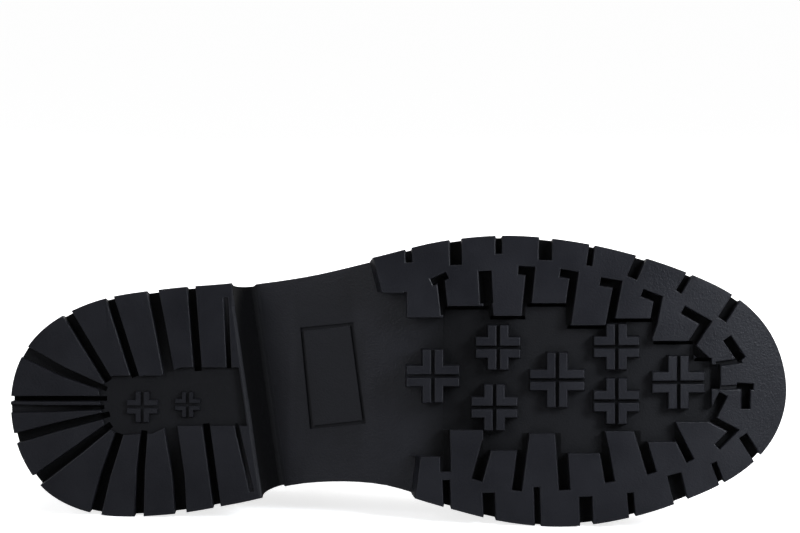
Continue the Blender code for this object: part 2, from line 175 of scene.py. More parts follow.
@dataclass(frozen=True)
class SoleShape:
    """Outline of the tread, and how the flat sole rides up on the bottom line of the last."""

    length: float = 275.0
    heel_tip_y: float = 3.6
    toe_tip_y: float = -1.0
    heel_pitch: float = 15.0
    pitch_back: float = 70.0
    pitch_front: float = 165.0
    toe_spring: float = 9.0
    spring_start: float = 195.0
    lug_depth: float = 5.5

    def turn_of(self, x: float) -> float:
        """Position round the sole, as an angle from the heel tip, of x on the lateral side."""
        return math.acos(1.0 - 2.0 * x / self.length)

    @cached_property
    def knots(self) -> list[tuple[float, float]]:
        """Tread edge, once round and a little more.

        Returns:
            (turn, y) knots in rising order of turn.
        """
        lateral = [(self.turn_of(row.x), row.lateral) for row in STATIONS]
        medial = [(FULL_TURN - self.turn_of(row.x), row.medial) for row in reversed(STATIONS)]
        lap = [(0.0, self.heel_tip_y)] + lateral + [(math.pi, self.toe_tip_y)] + medial
        return ([(medial[-1][0] - FULL_TURN, medial[-1][1])] + lap
                + [(turn + FULL_TURN, y) for turn, y in lap[:2]])

    def on_tread(self, turn: float) -> Vector:
        """Point of the tread's edge at a turn."""
        turn %= FULL_TURN
        return Vector((self.length * (1 - math.cos(turn)) / 2, smooth(self.knots, turn)))

    def edge(self, turn: float, inset: float = 0.0) -> tuple[Vector, Vector]:
        """Find a point of the outline.

        Args:
            turn: Where round the sole, from the heel tip by the lateral side.
            inset: How far in from the tread's edge.

        Returns:
            The point, and the direction outwards there.
        """
        step = 0.02
        along = (self.on_tread(turn + step) - self.on_tread(turn - step)).normalized()
        outward = Vector((along.y, -along.x))
        return self.on_tread(turn) - inset * outward, outward

    def spring(self, x: float) -> float:
        """How far the toe end lifts off the ground."""
        return self.toe_spring * (max(x - self.spring_start, 0.0) / (self.length - self.spring_start)) ** 2

    def rise(self, x: float, z: float) -> float:
        """How far a point of the flat sole rides up: the lugs stay on the ground, all above them is bent.

        Args:
            x: Its distance from the back of the heel.
            z: Its height in the flat sole.

        Returns:
            The rise.
        """
        pitch = self.heel_pitch * (1 - ease(x, self.pitch_back, self.pitch_front))
        above_lugs = (z - self.lug_depth) / (WAIST_FLOOR - self.lug_depth)
        return pitch * min(max(above_lugs, 0.0), 1.0) + self.spring(x)


@dataclass(frozen=True)
class Last:
    """The form that the upper is pulled over: ribs from the welt to a ridge along the foot."""

    sole: SoleShape
    seat: float = 20.7
    feather_inset: float = 7.0
    flare: float = 5.0
    rise_handle: float = 0.5
    crown_handle: float = 0.6
    medial_lift: float = 1.5
    lift_sides: tuple[float, float] = (-20.0, 20.0)
    lift_start: tuple[float, float] = (10.0, 40.0)
    lift_end: tuple[float, float] = (110.0, 145.0)
    halvings: int = 26

    def turn_to_ridge(self, x: float) -> float:
        """The lateral turn whose rib arrives on the ridge at x."""
        return self.sole.turn_of(self.sole.length * (x - RIDGE[0].x) / (RIDGE[-1].x - RIDGE[0].x))

    def ridge_point(self, x: float) -> Vector:
        """Point of the ridge."""
        return Vector((x, smooth([row[:2] for row in RIDGE], x), smooth([row[::2] for row in RIDGE], x)))

    @cache
    def handles(self, turn: float) -> tuple[Vector, Vector, Vector, Vector]:
        """Shape one rib.

        Args:
            turn: Where round the sole it starts.

        Returns:
            Its four control points, from the welt to the ridge.
        """
        foot, outward = self.sole.edge(turn, self.feather_inset)
        start = Vector((foot.x, foot.y, self.seat + self.sole.rise(foot.x, self.seat)))
        x = RIDGE[0].x + (RIDGE[-1].x - RIDGE[0].x) * (1 - math.cos(turn)) / 2
        end = self.ridge_point(x)
        slope = end.z - self.ridge_point(x - 1.0).z
        across = (end - start).xy
        arrive = Vector((across.x, across.y, slope * across.x))
        leave = Vector((outward.x * self.flare, outward.y * self.flare, self.rise_handle * (end.z - start.z)))
        return start, start + leave, end - self.crown_handle * arrive, end

    def rib(self, turn: float, v: float) -> Vector:
        """Find a point of the last.

        Args:
            turn: Which rib.
            v: How far up the rib, from 0 at the welt to 1 on the ridge.

        Returns:
            The point.
        """
        start, first, second, end = self.handles(turn)
        w = 1 - v
        return w ** 3 * start + 3 * w * w * v * first + 3 * w * v * v * second + v ** 3 * end

    def normal(self, turn: float, v: float) -> Vector:
        """Find the direction out of the last.

        Args:
            turn: Which rib.
            v: How far up the rib.

        Returns:
            The direction, one long.
        """
        step = 0.004
        low, high = max(v - step, 0.0), min(v + step, 1.0)
        along = self.rib(turn + step, v) - self.rib(turn - step, v)
        return along.cross(self.rib(turn, high) - self.rib(turn, low)).normalized()

    def last_v(self, turn: float, passed: Callable[[Vector], bool]) -> float:
        """Climb a rib up to a test.

        Args:
            turn: Which rib.
            passed: The test on a point, which holds from some height upwards.

        Returns:
            The highest v that still fails it, or 1 where none passes.
        """
        if not passed(self.rib(turn, 1.0)):
            return 1.0
        low, high = 0.0, 1.0
        for _ in range(self.halvings):
            middle = (low + high) / 2
            if passed(self.rib(turn, middle)):
                high = middle
            else:
                low = middle
        return low

    def over_collar(self, point: Vector) -> bool:
        """Whether a point of the last lies above the collar's edge."""
        lift = self.medial_lift * ease(point.y, *self.lift_sides) * ease(point.x, *self.lift_start)
        return point.z > smooth(COLLAR, point.x) + lift * (1 - ease(point.x, *self.lift_end))

    @cache
    def collar_v(self, turn: float) -> float:
        """Where a rib meets the collar's edge, or 1 where it reaches the ridge."""
        return self.last_v(turn, self.over_collar)

    def below_collar(self, turn: float, drop: float) -> float:
        """Find a place under the collar's edge.

        Args:
            turn: Which rib.
            drop: Distance below the rib's top.

        Returns:
            The v there.
        """
        share = 0.1
        top = self.collar_v(turn)
        reach = (self.rib(turn, top) - self.rib(turn, top * (1 - share))).length / (share * top)
        return top - drop / reach


@dataclass(frozen=True)
class Lay:
    """How the shoe lies: turned and tipped onto its inner side, and where its own origin then is."""

    turn: float = math.radians(-1.37)
    tip: float = math.radians(5.37)
    x: float = -137.54
    y: float = -52.17
    z: float = 42.26
    lowest: float = 0.03

    @cached_property
    def matrix(self) -> Matrix:
        """The way from the shoe's own frame to the model's.

        Returns:
            A matrix that takes millimetres to metres.
        """
        place = Matrix.Translation(Vector((self.x, self.y, self.z)) * MM)
        tipped = Matrix.Rotation(-math.pi / 2 - self.tip, 4, "X") @ Matrix.Rotation(self.turn, 4, "Z")
        return place @ tipped @ Matrix.Scale(MM, 4)


# ---------------------------------------------------------------------------------------------------------
# Mesh tools
# ---------------------------------------------------------------------------------------------------------


class Carving(Enum):
    """What a drawn solid does to a body."""

    CUT = "DIFFERENCE"
    JOIN = "UNION"


Line = list[tuple[Vector, Vector]]


def stand(name: str, data: bpy.types.ID) -> bpy.types.Object:
    """Put a new object in the scene.

    Args:
        name: Its name.
        data: The mesh, lamp or camera that it holds.

    Returns:
        The object.
    """
    thing = bpy.data.objects.new(name, data)
    bpy.context.scene.collection.objects.link(thing)
    return thing


def stand_mesh(name: str, mesh: BMesh) -> bpy.types.Object:
    """Put a drawn mesh in the scene as a new object.

    Args:
        name: Its name.
        mesh: The drawing; it is freed.

    Returns:
        The object.
    """
    data = bpy.data.meshes.new(name)
    mesh.to_mesh(data)
    mesh.free()
    return stand(name, data)


def keep_result(thing: bpy.types.Object) -> None:
    """Give an object the mesh that its modifiers make, and take them off.

    Args:
        thing: The object.
    """
    graph = bpy.context.evaluated_depsgraph_get()
    result = bpy.data.meshes.new_from_object(thing.evaluated_get(graph))
    thing.modifiers.clear()
    thing.data = result


def round_edges(mesh: BMesh, edges: Sequence[BMEdge], radius: float, segments: int,
                clamp: bool = False) -> None:
    """Round some edges of a mesh.

    Args:
        mesh: The mesh.
        edges: Which of its edges.
        radius: How far from the edge the rounding starts.
        segments: Faces across the rounding.
        clamp: Whether the radius shrinks where two roundings would meet.
    """
    bmesh.ops.bevel(mesh, geom=edges, offset=radius, offset_type="OFFSET", segments=segments, profile=0.5,
                    affect="EDGES", clamp_overlap=clamp, material=-1)


def pillar(mesh: BMesh, lower: Sequence[Vector], upper: Sequence[Vector], z0: float,
           tops: Sequence[float]) -> None:
    """Add a closed solid that rises from one polygon to another.

    Args:
        mesh: The mesh to add to.
        lower: Corners at the bottom.
        upper: As many corners at the top.
        z0: Height of the bottom.
        tops: Height of each corner at the top.
    """
    floor = mesh.faces.new([mesh.verts.new((corner[0], corner[1], z0)) for corner in lower])
    made = bmesh.ops.extrude_face_region(mesh, geom=[floor])["geom"]
    roof = next(item for item in made if isinstance(item, BMFace))
    for loop, corner, top in zip(roof.loops, upper, tops, strict=True):
        loop.vert.co = (corner[0], corner[1], top)


def shaft(mesh: BMesh, corners: Sequence[tuple[float, float]], depth: float) -> None:
    """Add a straight-walled solid that rises from below the ground to a level top."""
    pillar(mesh, corners, corners, UNDERGROUND, [depth] * len(corners))


def ribbon(points: Sequence[tuple[float, float]], width: float, end_width: float) -> list[Vector]:
    """Border of a bent strip with mitred corners.

    Args:
        points: The strip's middle line.
        width: Its width at the first point.
        end_width: Its width at the last.

    Returns:
        Corners along one side and back along the other.
    """
    line = [Vector(point) for point in points]
    steps = [(b - a).normalized() for a, b in zip(line, line[1:])]
    sides = [Vector((-step.y, step.x)) for step in steps]
    left, right = [], []
    for i, point in enumerate(line):
        before, after = sides[max(i - 1, 0)], sides[min(i, len(sides) - 1)]
        middle = (before + after).normalized()
        reach = (width + (end_width - width) * i / len(steps)) / 2 / middle.dot(after)
        left.append(point - reach * middle)
        right.append(point + reach * middle)
    return left + right[::-1]


def cross(x: float, y: float, size: float, arm: float) -> list[tuple[float, float]]:
    """Draw a cross.

    Args:
        x: Its middle, from the back of the heel.
        y: Its middle, across the foot.
        size: Its whole width.
        arm: Width of each arm.

    Returns:
        Its twelve corners.
    """
    corners = []
    for turn in range(4):
        for u, v in ((size / 2, -arm / 2), (size / 2, arm / 2), (arm / 2, arm / 2)):
            for _ in range(turn):
                u, v = -v, u
            corners.append((x + u, y + v))
    return corners


def sheet(columns: int, rows: int, lay_on: Callable[[float, float], Vector]) -> BMesh:
    """A grid laid on a surface.

    Args:
        columns: Cells along u.
        rows: Cells along v.
        lay_on: Gives the surface point for u and v, each from 0 to 1.

    Returns:
        The mesh.
    """
    mesh = bmesh.new()
    bmesh.ops.create_grid(mesh, x_segments=columns, y_segments=rows, size=0.5)
    for vert in mesh.verts:
        u = round((vert.co.x + 0.5) * columns) / columns
        v = round((vert.co.y + 0.5) * rows) / rows
        vert.co = lay_on(u, v)
    return mesh


def carve(body: bpy.types.Object, drawn: BMesh, carving: Carving, overlapping: bool = False) -> None:
    """Cut a drawn solid out of a body, or join it on, and keep only the result.

    Args:
        body: The object that is carved.
        drawn: One or more closed solids; the mesh is freed.
        carving: Whether they are cut out or joined on.
        overlapping: Whether the drawn solids pass through each other.
    """
    drawn.normal_update()
    bmesh.ops.recalc_face_normals(drawn, faces=drawn.faces[:])
    tool = stand_mesh("tool", drawn)
    modifier = body.modifiers.new("carve", "BOOLEAN")
    modifier.operation = carving.value
    modifier.solver = "EXACT"
    modifier.use_self = overlapping
    modifier.object = tool
    keep_result(body)
    bpy.data.objects.remove(tool, do_unlink=True)


def blank(sole: SoleShape, rings: Sequence[tuple[float, float]], points: int) -> BMesh:
    """A closed layer with the sole's outline.

    Args:
        sole: The outline.
        rings: (height, inset) of each edge of the side wall, from the bottom up.
        points: Corners round the outline.

    Returns:
        The layer, flat.
    """
    mesh = bmesh.new()
    bmesh.ops.create_circle(mesh, cap_ends=True, cap_tris=False, segments=points, radius=1.0)
    turns = mesh.verts.layers.float.new("turn")
    for vert in mesh.verts:
        vert[turns] = (math.atan2(vert.co.y, vert.co.x) - math.pi) % FULL_TURN
    mesh.faces.ensure_lookup_table()
    cap = mesh.faces[0]
    for i, (height, inset) in enumerate(rings):
        if i:
            below = cap
            made = bmesh.ops.extrude_face_region(mesh, geom=[cap])["geom"]
            cap = next(item for item in made if isinstance(item, BMFace))
            if i > 1:  # the first cap closes the bottom
                bmesh.ops.delete(mesh, geom=[below], context="FACES_ONLY")
        for vert in cap.verts:
            vert.co = (*sole.edge(vert[turns], inset)[0], height)
    mesh.verts.layers.float.remove(turns)
    mesh.normal_update()
    bmesh.ops.recalc_face_normals(mesh, faces=mesh.faces[:])
    return mesh


def bend(mesh: BMesh, sole: SoleShape, step: float) -> None:
    """Score a flat layer across, and raise it onto the last.

    Args:
        mesh: The layer, flat.
        sole: The bottom line.
        step: Distance between the scores.
    """
    x = step
    while x < sole.length:
        everything = mesh.verts[:] + mesh.edges[:] + mesh.faces[:]
        bmesh.ops.bisect_plane(mesh, geom=everything, dist=SAME_PLACE, plane_co=(x, 0, 0),
                               plane_no=(1, 0, 0))
        x += step
    bmesh.ops.triangulate(mesh, faces=[face for face in mesh.faces if len(face.verts) > 4])
    for vert in mesh.verts:
        vert.co.z += sole.rise(vert.co.x, vert.co.z)


def lift_off(mesh: BMesh, distance: float) -> None:
    """Turn a sheet's faces upwards, and move it along its normals.

    Args:
        mesh: The sheet.
        distance: How far out; below zero it goes in.
    """
    mesh.normal_update()
    top = max(mesh.faces, key=lambda face: face.calc_center_median().z)
    if top.normal.z < 0:
        bmesh.ops.reverse_faces(mesh, faces=mesh.faces[:])
    mesh.normal_update()
    moves = [vert.normal * distance for vert in mesh.verts]
    for vert, move in zip(mesh.verts, moves):
        vert.co += move


def rope(line: Line, radius: float, sides: int) -> BMesh:
    """A round cord with closed ends along a line.

    Args:
        line: Points of its middle with the surface normal at each.
        radius: Half its thickness.
        sides: Faces round it.

    Returns:
        The mesh.
    """
    def around(u: float, v: float) -> Vector:
        """Find a point of the cord's skin.

        Args:
            u: How far along it, from 0 to 1.
            v: How far round it, from 0 to 1.

        Returns:
            The point.
        """
        i = round(u * (len(line) - 1))
        point, normal = line[i]
        along = (line[min(i + 1, len(line) - 1)][0] - line[max(i - 1, 0)][0]).normalized()
        side = along.cross(normal).normalized()
        angle = FULL_TURN * v
        return point + radius * (math.cos(angle) * normal + math.sin(angle) * side)

    mesh = sheet(len(line) - 1, sides, around)
    seam = radius * 0.01
    bmesh.ops.remove_doubles(mesh, verts=mesh.verts[:], dist=seam)
    bmesh.ops.holes_fill(mesh, edges=[edge for edge in mesh.edges if edge.is_boundary], sides=sides)
    bmesh.ops.recalc_face_normals(mesh, faces=mesh.faces[:])
    return mesh


@dataclass(frozen=True)
class Stitching:
    """A row of stitches, half sunk in what they sew."""

    length: float = 2.3
    pitch: float = 3.1
    thread: float = 0.62
    across: bool = False

    def stations(self, line: Line) -> Iterator[tuple[Vector, Vector, Vector]]:
        """Walk a line at the stitches' pitch.

        Args:
            line: Points with the surface normal at each.

        Yields:
            Place, direction and normal of each stitch.
        """
        due = self.pitch / 2
        for (a, normal), (b, _) in zip(line, line[1:]):
            step = b - a
            while due <= step.length:
                yield a + step * (due / step.length), step.normalized(), normal
                due += self.pitch
            due -= step.length

    def sew(self, mesh: BMesh, line: Line) -> int:
        """Add the stitches of one row.

        Args:
            mesh: The mesh that holds the thread.
            line: Points with the surface normal at each.

        Returns:
            How many stitches were made.
        """
        made = 0
        for place, along, normal in self.stations(line):
            side = along.cross(normal).normalized()
            if self.across:
                along, side = side, -along
            turned = Matrix((along, side, normal)).transposed().to_4x4()
            size = Matrix.Diagonal((self.length / 2, self.thread / 2, self.thread / 2, 1.0))
            bmesh.ops.create_uvsphere(mesh, u_segments=6, v_segments=4, radius=1.0,
                                      matrix=Matrix.Translation(place) @ turned @ size)
            made += 1
        return made


# ---------------------------------------------------------------------------------------------------------
# Finishes
# ---------------------------------------------------------------------------------------------------------

Colour = tuple[float, float, float]
# mesh attribute: how much painted shade each corner of the outsole takes
HOLLOW_SHADE = "hollow_shade"


class Mixed(Enum):
    """What a mix node mixes: its name, its places for factor, first and second, and its outlet."""

    COLOURS = ("RGBA", (0, 6, 7), 2)
    VALUES = ("FLOAT", (0, 2, 3), 0)


class Board:
    """A node tree that is being wired."""

    def __init__(self, tree: bpy.types.NodeTree) -> None:
        """Start from an empty tree."""
        self.tree = tree
        tree.nodes.clear()

    def add(self, kind: str, inputs: dict[str | int, object] | None = None,
            **settings: object) -> bpy.types.Node:
        """Add a node.

        Args:
            kind: Blender's name of the node.
            inputs: For each input, by name or place, a value or the output that feeds it.
            settings: The node's own properties.

        Returns:
            The node.
        """
        node = self.tree.nodes.new(kind)
        for name, value in settings.items():
            setattr(node, name, value)
        for name, value in (inputs or {}).items():
            if isinstance(value, bpy.types.NodeSocket):
                self.tree.links.new(value, node.inputs[name])
            else:
                node.inputs[name].default_value = value
        return node

    def mix(self, factor: object, first: object, second: object,
            mixed: Mixed = Mixed.COLOURS) -> bpy.types.NodeSocket:
        """Mix two colours or two values.

        Args:
            factor: The share of the second.
            first: What factor 0 gives.
            second: What factor 1 gives.
            mixed: Whether they are colours or values.

        Returns:
            The output that carries the mixture.
        """
        data_type, places, outlet = mixed.value
        inputs = dict(zip(places, (factor, first, second), strict=True))
        return self.add("ShaderNodeMix", inputs, data_type=data_type).outputs[outlet]


class Effects:
    """Shader groups that several finishes share."""

    @staticmethod
    def start(name: str, inputs: dict[str, float], outputs: Sequence[str]) -> tuple[Board, bpy.types.Node]:
        """Begin a group.

        Args:
            name: What the group is called.
            inputs: Default of each value that goes in.
            outputs: Names of the values that come out.

        Returns:
            The group's board, and its input node.
        """
        tree = bpy.data.node_groups.new(name, "ShaderNodeTree")
        board = Board(tree)
        for label, value in inputs.items():
            socket = tree.interface.new_socket(label, in_out="INPUT", socket_type="NodeSocketFloat")
            socket.default_value = value
        for label in outputs:
            tree.interface.new_socket(label, in_out="OUTPUT", socket_type="NodeSocketFloat")
        return board, board.add("NodeGroupInput")

    @cached_property
    def grain(self) -> bpy.types.NodeTree:
        """Fine relief: from a moulded stipple at Pebble 0 to leather's pebbles at 1.

        Returns:
            The group.
        """
        board, given = self.start("grain", {"Cells": 1000.0, "Stipple": 2500.0, "Pebble": 0.5}, ["Height"])
        place = board.add("ShaderNodeTexCoord").outputs["Object"]
        cells = board.add("ShaderNodeTexVoronoi", {"Vector": place, "Scale": given.outputs["Cells"],
                                                   "Smoothness": 0.5}, feature="SMOOTH_F1")
        fine = board.add("ShaderNodeTexNoise", {"Vector": place, "Scale": given.outputs["Stipple"],
                                                "Detail": 2.0, "Roughness": 0.6})
        height = board.mix(given.outputs["Pebble"], fine.outputs["Fac"], cells.outputs["Distance"],
                           Mixed.VALUES)
        board.add("NodeGroupOutput", {"Height": height})
        return board.tree

    @cached_property
    def drift(self) -> bpy.types.NodeTree:
        """Slow change over a surface, from 0 to 1.

        Returns:
            The group.
        """
        middle = 0.5
        board, given = self.start("drift", {"Size": 30.0, "Spread": 0.3}, ["Mask"])
        place = board.add("ShaderNodeTexCoord").outputs["Object"]
        noise = board.add("ShaderNodeTexNoise", {"Vector": place, "Scale": given.outputs["Size"],
                                                 "Detail": 4.0, "Roughness": 0.55})
        low = board.add("ShaderNodeMath", {0: middle, 1: given.outputs["Spread"]}, operation="SUBTRACT")
        high = board.add("ShaderNodeMath", {0: middle, 1: given.outputs["Spread"]}, operation="ADD")
        mask = board.add("ShaderNodeMapRange", {"Value": noise.outputs["Fac"], "From Min": low.outputs[0],
                                                "From Max": high.outputs[0]})
        board.add("NodeGroupOutput", {"Mask": mask.outputs["Result"]})
        return board.tree


@dataclass(frozen=True)
class Finish:
    """A finish whose colour and gloss drift between two ends, over a fine relief."""

    name: str
    deep: Colour
    pale: Colour
    glossy: float
    dull: float
    cells: float = 1000.0
    stipple: float = 2500.0
    pebble: float = 0.5
    relief: float = 0.05
    drift: float = 30.0
    spread: float = 0.22
    specular: float = 0.5
    coat: float = 0.0
    coat_roughness: float = 0.25
    sheen: float = 0.0
    sheen_roughness: float = 0.4
    # painted shade: where the hollow attribute is full, the colour falls to this share of the deep colour and
    # the roughness goes to hollow_roughness
    hollow_shade: float = 1.0
    hollow_roughness: float = 0.9

    def material(self, effects: Effects) -> bpy.types.Material:
        """Wire the material.

        Args:
            effects: The shared groups.

        Returns:
            The material.
        """
        made = bpy.data.materials.new(self.name)
        made.use_nodes = True
        board = Board(made.node_tree)
        slow = board.add("ShaderNodeGroup", {"Size": self.drift, "Spread": self.spread},
                         node_tree=effects.drift)
        fine = board.add("ShaderNodeGroup", {"Cells": self.cells, "Stipple": self.stipple,
                                             "Pebble": self.pebble}, node_tree=effects.grain)
        mask = slow.outputs["Mask"]
        colour = board.mix(mask, (*self.deep, 1.0), (*self.pale, 1.0))
        gloss = board.mix(mask, self.glossy, self.dull, Mixed.VALUES)
        # painted shade in grooves, the cove and the open middle: a darker colour and a duller gloss by the
        # mesh's hollow attribute
        if self.hollow_shade < 1.0:
            sunk = board.add("ShaderNodeAttribute", attribute_name=HOLLOW_SHADE).outputs["Fac"]
            painted_shade = tuple(channel * self.hollow_shade for channel in self.deep)
            colour = board.mix(sunk, colour, (*painted_shade, 1.0))
            gloss = board.mix(sunk, gloss, self.hollow_roughness, Mixed.VALUES)
        bump = board.add("ShaderNodeBump", {"Height": fine.outputs["Height"], "Strength": 1.0,
                                            "Distance": self.relief * MM})
        shader = board.add("ShaderNodeBsdfPrincipled", {
            "Base Color": colour, "Roughness": gloss, "Normal": bump.outputs["Normal"],
            "Specular IOR Level": self.specular, "Coat Weight": self.coat,
            "Coat Roughness": self.coat_roughness, "Sheen Weight": self.sheen,
            "Sheen Roughness": self.sheen_roughness})
        board.add("ShaderNodeOutputMaterial", {"Surface": shader.outputs["BSDF"]})
        return made


RUBBER = Finish("black_rubber", (0.0068, 0.0070, 0.0092), (0.0102, 0.0105, 0.0134), 0.31, 0.41,
                cells=900.0, stipple=1500.0, pebble=0.25, relief=0.13, drift=55.0, specular=0.15,
                hollow_shade=0.12)
# a shaded copy of the rubber with weaker specular: painted shade on the cove behind the heel's lip
SHADED_COVE_RUBBER = replace(RUBBER, name="shaded_cove_rubber", specular=0.08)
# a paler copy of the rubber: a painted highlight along the rounding of the heel's lip
LIP_HIGHLIGHT_RUBBER = Finish("lip_highlight_rubber", (0.0100, 0.0102, 0.0122), (0.0150, 0.0152, 0.0176), 0.42, 0.54,
                     cells=900.0, stipple=1500.0, pebble=0.25, relief=0.14, drift=120.0, specular=0.12)
WELT_RUBBER = Finish("welt_rubber", (0.0065, 0.0066, 0.0070), (0.0095, 0.0096, 0.0100), 0.42, 0.55,
                     cells=1400.0, stipple=2200.0, pebble=0.2, relief=0.05, drift=70.0, specular=0.4)
LEATHER = Finish("black_leather", (0.0080, 0.0079, 0.0082), (0.0125, 0.0122, 0.0124), 0.30, 0.43,
                 cells=1500.0, stipple=4200.0, pebble=0.8, relief=0.10, drift=35.0, specular=0.5, coat=0.25)
LINING = Finish("lining_leather", (0.062, 0.050, 0.038), (0.088, 0.072, 0.055), 0.62, 0.80,
                cells=1100.0, stipple=3000.0, pebble=0.6, relief=0.07, drift=40.0, specular=0.4)
SOCK = Finish("sock_leather", (0.050, 0.040, 0.031), (0.072, 0.058, 0.045), 0.58, 0.75,
              cells=900.0, stipple=2600.0, pebble=0.6, relief=0.06, drift=50.0, specular=0.4)
THREAD = Finish("waxed_thread", (0.024, 0.024, 0.025), (0.040, 0.040, 0.041), 0.45, 0.65,
                cells=3000.0, stipple=6000.0, pebble=0.2, relief=0.06, drift=200.0, sheen=0.2)


# ---------------------------------------------------------------------------------------------------------
# Pieces of the shoe
# ---------------------------------------------------------------------------------------------------------

RIM_SEGMENTS = 3
RIM_ANGLE = math.radians(55.0)
WALL_SHARP = 40.0


@dataclass
class Component:
    """A sub-assembly, drawn on the last and laid down as the shoe lies."""

    last: Last
    lay: Lay

    @property
    def sole(self) -> SoleShape:
        """The sole that the last stands on."""
        return self.last.sole

    def place(self, name: str, mesh: BMesh, finishes: Sequence[bpy.types.Material], node: str = "",
              slot: str = "", sharp: float = 28.0) -> bpy.types.Object:
        """Lay a mesh down and make it a piece of the shoe.

        Args:
            name: The piece's name.
            mesh: Its mesh in the shoe's frame; it is freed.
            finishes: Its materials.
            node: The solid that it stands for, if any.
            slot: Not used.
            sharp: Edges that bend more than this many degrees stay sharp.

        Returns:
            The object.
        """
        bmesh.ops.transform(mesh, matrix=self.lay.matrix, verts=mesh.verts[:])
        for vert in mesh.verts:
            vert.co.z = max(vert.co.z, self.lay.lowest * MM)  # pressed flat where it lies on the floor
        thing = stand_mesh(name, mesh)
        for finish in finishes:
            thing.data.materials.append(finish)
        self.shade(thing, sharp)
        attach(thing, "root")
        if node:
            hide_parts(node)
        log.info("%s: %d faces", name, len(thing.data.polygons))
        return thing

    @staticmethod
    def shade(thing: bpy.types.Object, sharp: float) -> None:
        """Shade an object smooth, but for edges that bend more than an angle in degrees."""
        thing.data.shade_smooth()
        thing.data.set_sharp_from_angle(angle=math.radians(sharp))

    def wall(self, thing: bpy.types.Object, thickness: float, outward: bool, rounding: float,
             lined: bool = False) -> None:
        """Give a sheet its thickness and rounded rims, and keep only the result.

        Args:
            thing: The sheet.
            thickness: Its thickness.
            outward: Whether the wall grows outwards from the sheet.
            rounding: Radius of the rims.
            lined: Whether the new side takes the second material.
        """
        solid = thing.modifiers.new("wall", "SOLIDIFY")
        solid.thickness = thickness * MM
        solid.offset = 1.0 if outward else -1.0
        solid.use_even_offset = True
        solid.material_offset = int(lined)
        rim = thing.modifiers.new("rim", "BEVEL")
        rim.width = rounding * MM
        rim.segments = RIM_SEGMENTS
        rim.limit_method = "ANGLE"
        rim.angle_limit = RIM_ANGLE
        keep_result(thing)
        self.shade(thing, WALL_SHARP)


class Groove(NamedTuple):
    """A groove in the flat tread, along a bent line from its outer end; it may taper and slope to the end."""

    width: float
    line: tuple[tuple[float, float], ...]
    depth: float = 5.0
    end_depth: float = 0.0
    end_width: float = 0.0


class Lug(NamedTuple):
    """Toe-side edge of a lug next to the open middle, and how far in the lug reaches."""

    x: float
    inner: float


class Stud(NamedTuple):
    """A small cross in the open middle of the tread."""

    x: float
    y: float
    size: float
    arm: float = 7.6


class Ramp(NamedTuple):
    """A stretch of the tread's floor: its back, front and sides, and how deep it lies at back and front."""

    back: float
    front: float
    lateral: float
    medial: float
    back_depth: float
    front_depth: float


class Rubber(Enum):
    """Finishes of the outsole, by their place among its materials."""

    PLAIN = 0
    # painted highlight along the rounding of the heel's lip
    LIP_HIGHLIGHT = 1
    # shaded copy with weaker specular: painted shade on the cove
    SHADED_COVE = 2


HEEL_GROOVES = (
    Groove(1.4, ((76.0, -34.0), (77.2, -9.0)), 0.9, 4.4),
    Groove(2.5, ((63.4, -44.0), (66.2, -8.0))),
    Groove(3.6, ((49.2, -42.0), (52.6, -25.0), (56.4, -5.0)), 6.2, 2.0),
    Groove(2.5, ((33.2, -40.0), (44.0, -6.0))),
    Groove(3.2, ((15.5, -36.0), (34.6, -4.5)), 5.0, 5.0, 2.6),
    Groove(4.6, ((0.0, -17.5), (18.5, -7.8), (34.0, -1.6)), 2.0, 3.4, 1.7),
    Groove(1.6, ((-4.0, 1.7), (34.0, 1.7))),
    Groove(2.9, ((-4.0, 5.2), (16.0, 5.2), (33.0, 4.8)), 1.5, 3.4, 1.5),
    Groove(3.6, ((-3.0, 17.0), (17.5, 11.4), (35.0, 7.2)), 4.4, 4.2, 2.0),
    Groove(4.2, ((4.5, 34.0), (24.0, 19.6), (35.5, 10.8)), 5.0, 4.2, 2.2),
    Groove(3.9, ((28.6, 48.0), (33.4, 29.0), (38.4, 14.0)), 5.0, 5.0, 2.7),
    Groove(2.9, ((45.2, 50.0), (46.0, 26.0), (47.2, 13.0)), 5.0, 5.0, 2.1),
    Groove(3.6, ((60.6, 50.0), (59.3, 29.0), (56.4, 10.5)), 6.2, 2.0, 4.4),
    Groove(2.3, ((73.8, 46.0), (69.0, 10.5))),
    Groove(1.4, ((85.2, 34.5), (79.7, 10.5)), 0.9, 2.6),
)
HUB = ((31.0, -2.0), (36.0, -6.4), (53.0, -6.4), (60.0, -9.3), (80.6, -9.3), (83.5, 11.3), (56.0, 11.3),
       (50.0, 14.0), (38.0, 14.6), (33.0, 11.0))
HEEL_STUDS = (Stud(46.5, 4.6, 11.0, 5.0), Stud(62.5, 3.8, 9.0, 4.2))

EDGE_NOTCHES = (
    Groove(2.0, ((140.2, -60.0), (140.8, -46.5))),
    Groove(3.9, ((157.0, -62.0), (157.4, -45.6))),
    Groove(2.0, ((172.5, -62.0), (172.5, -49.5))),
    Groove(4.4, ((189.3, -62.0), (188.9, -47.3))),
    Groove(1.7, ((206.5, -60.0), (204.5, -45.3))),
    Groove(3.4, ((225.5, -54.0), (219.6, -41.0))),
    Groove(1.9, ((243.5, -48.0), (236.2, -36.0))),
    Groove(3.0, ((260.0, -39.0), (251.7, -26.2))),
    Groove(2.3, ((154.6, 48.0), (153.9, 30.5))),
    Groove(4.0, ((169.6, 54.0), (168.9, 35.0))),
    Groove(1.9, ((186.6, 56.0), (185.9, 33.0)), 3.0),
    Groove(4.3, ((203.9, 56.0), (203.2, 36.3))),
    Groove(2.0, ((220.5, 52.0), (219.0, 35.0))),
    Groove(4.8, ((239.0, 46.0), (234.6, 28.5))),
    Groove(1.7, ((254.0, 38.0), (248.8, 24.5))),
    Groove(3.0, ((267.0, 27.0), (259.2, 15.0))),
)
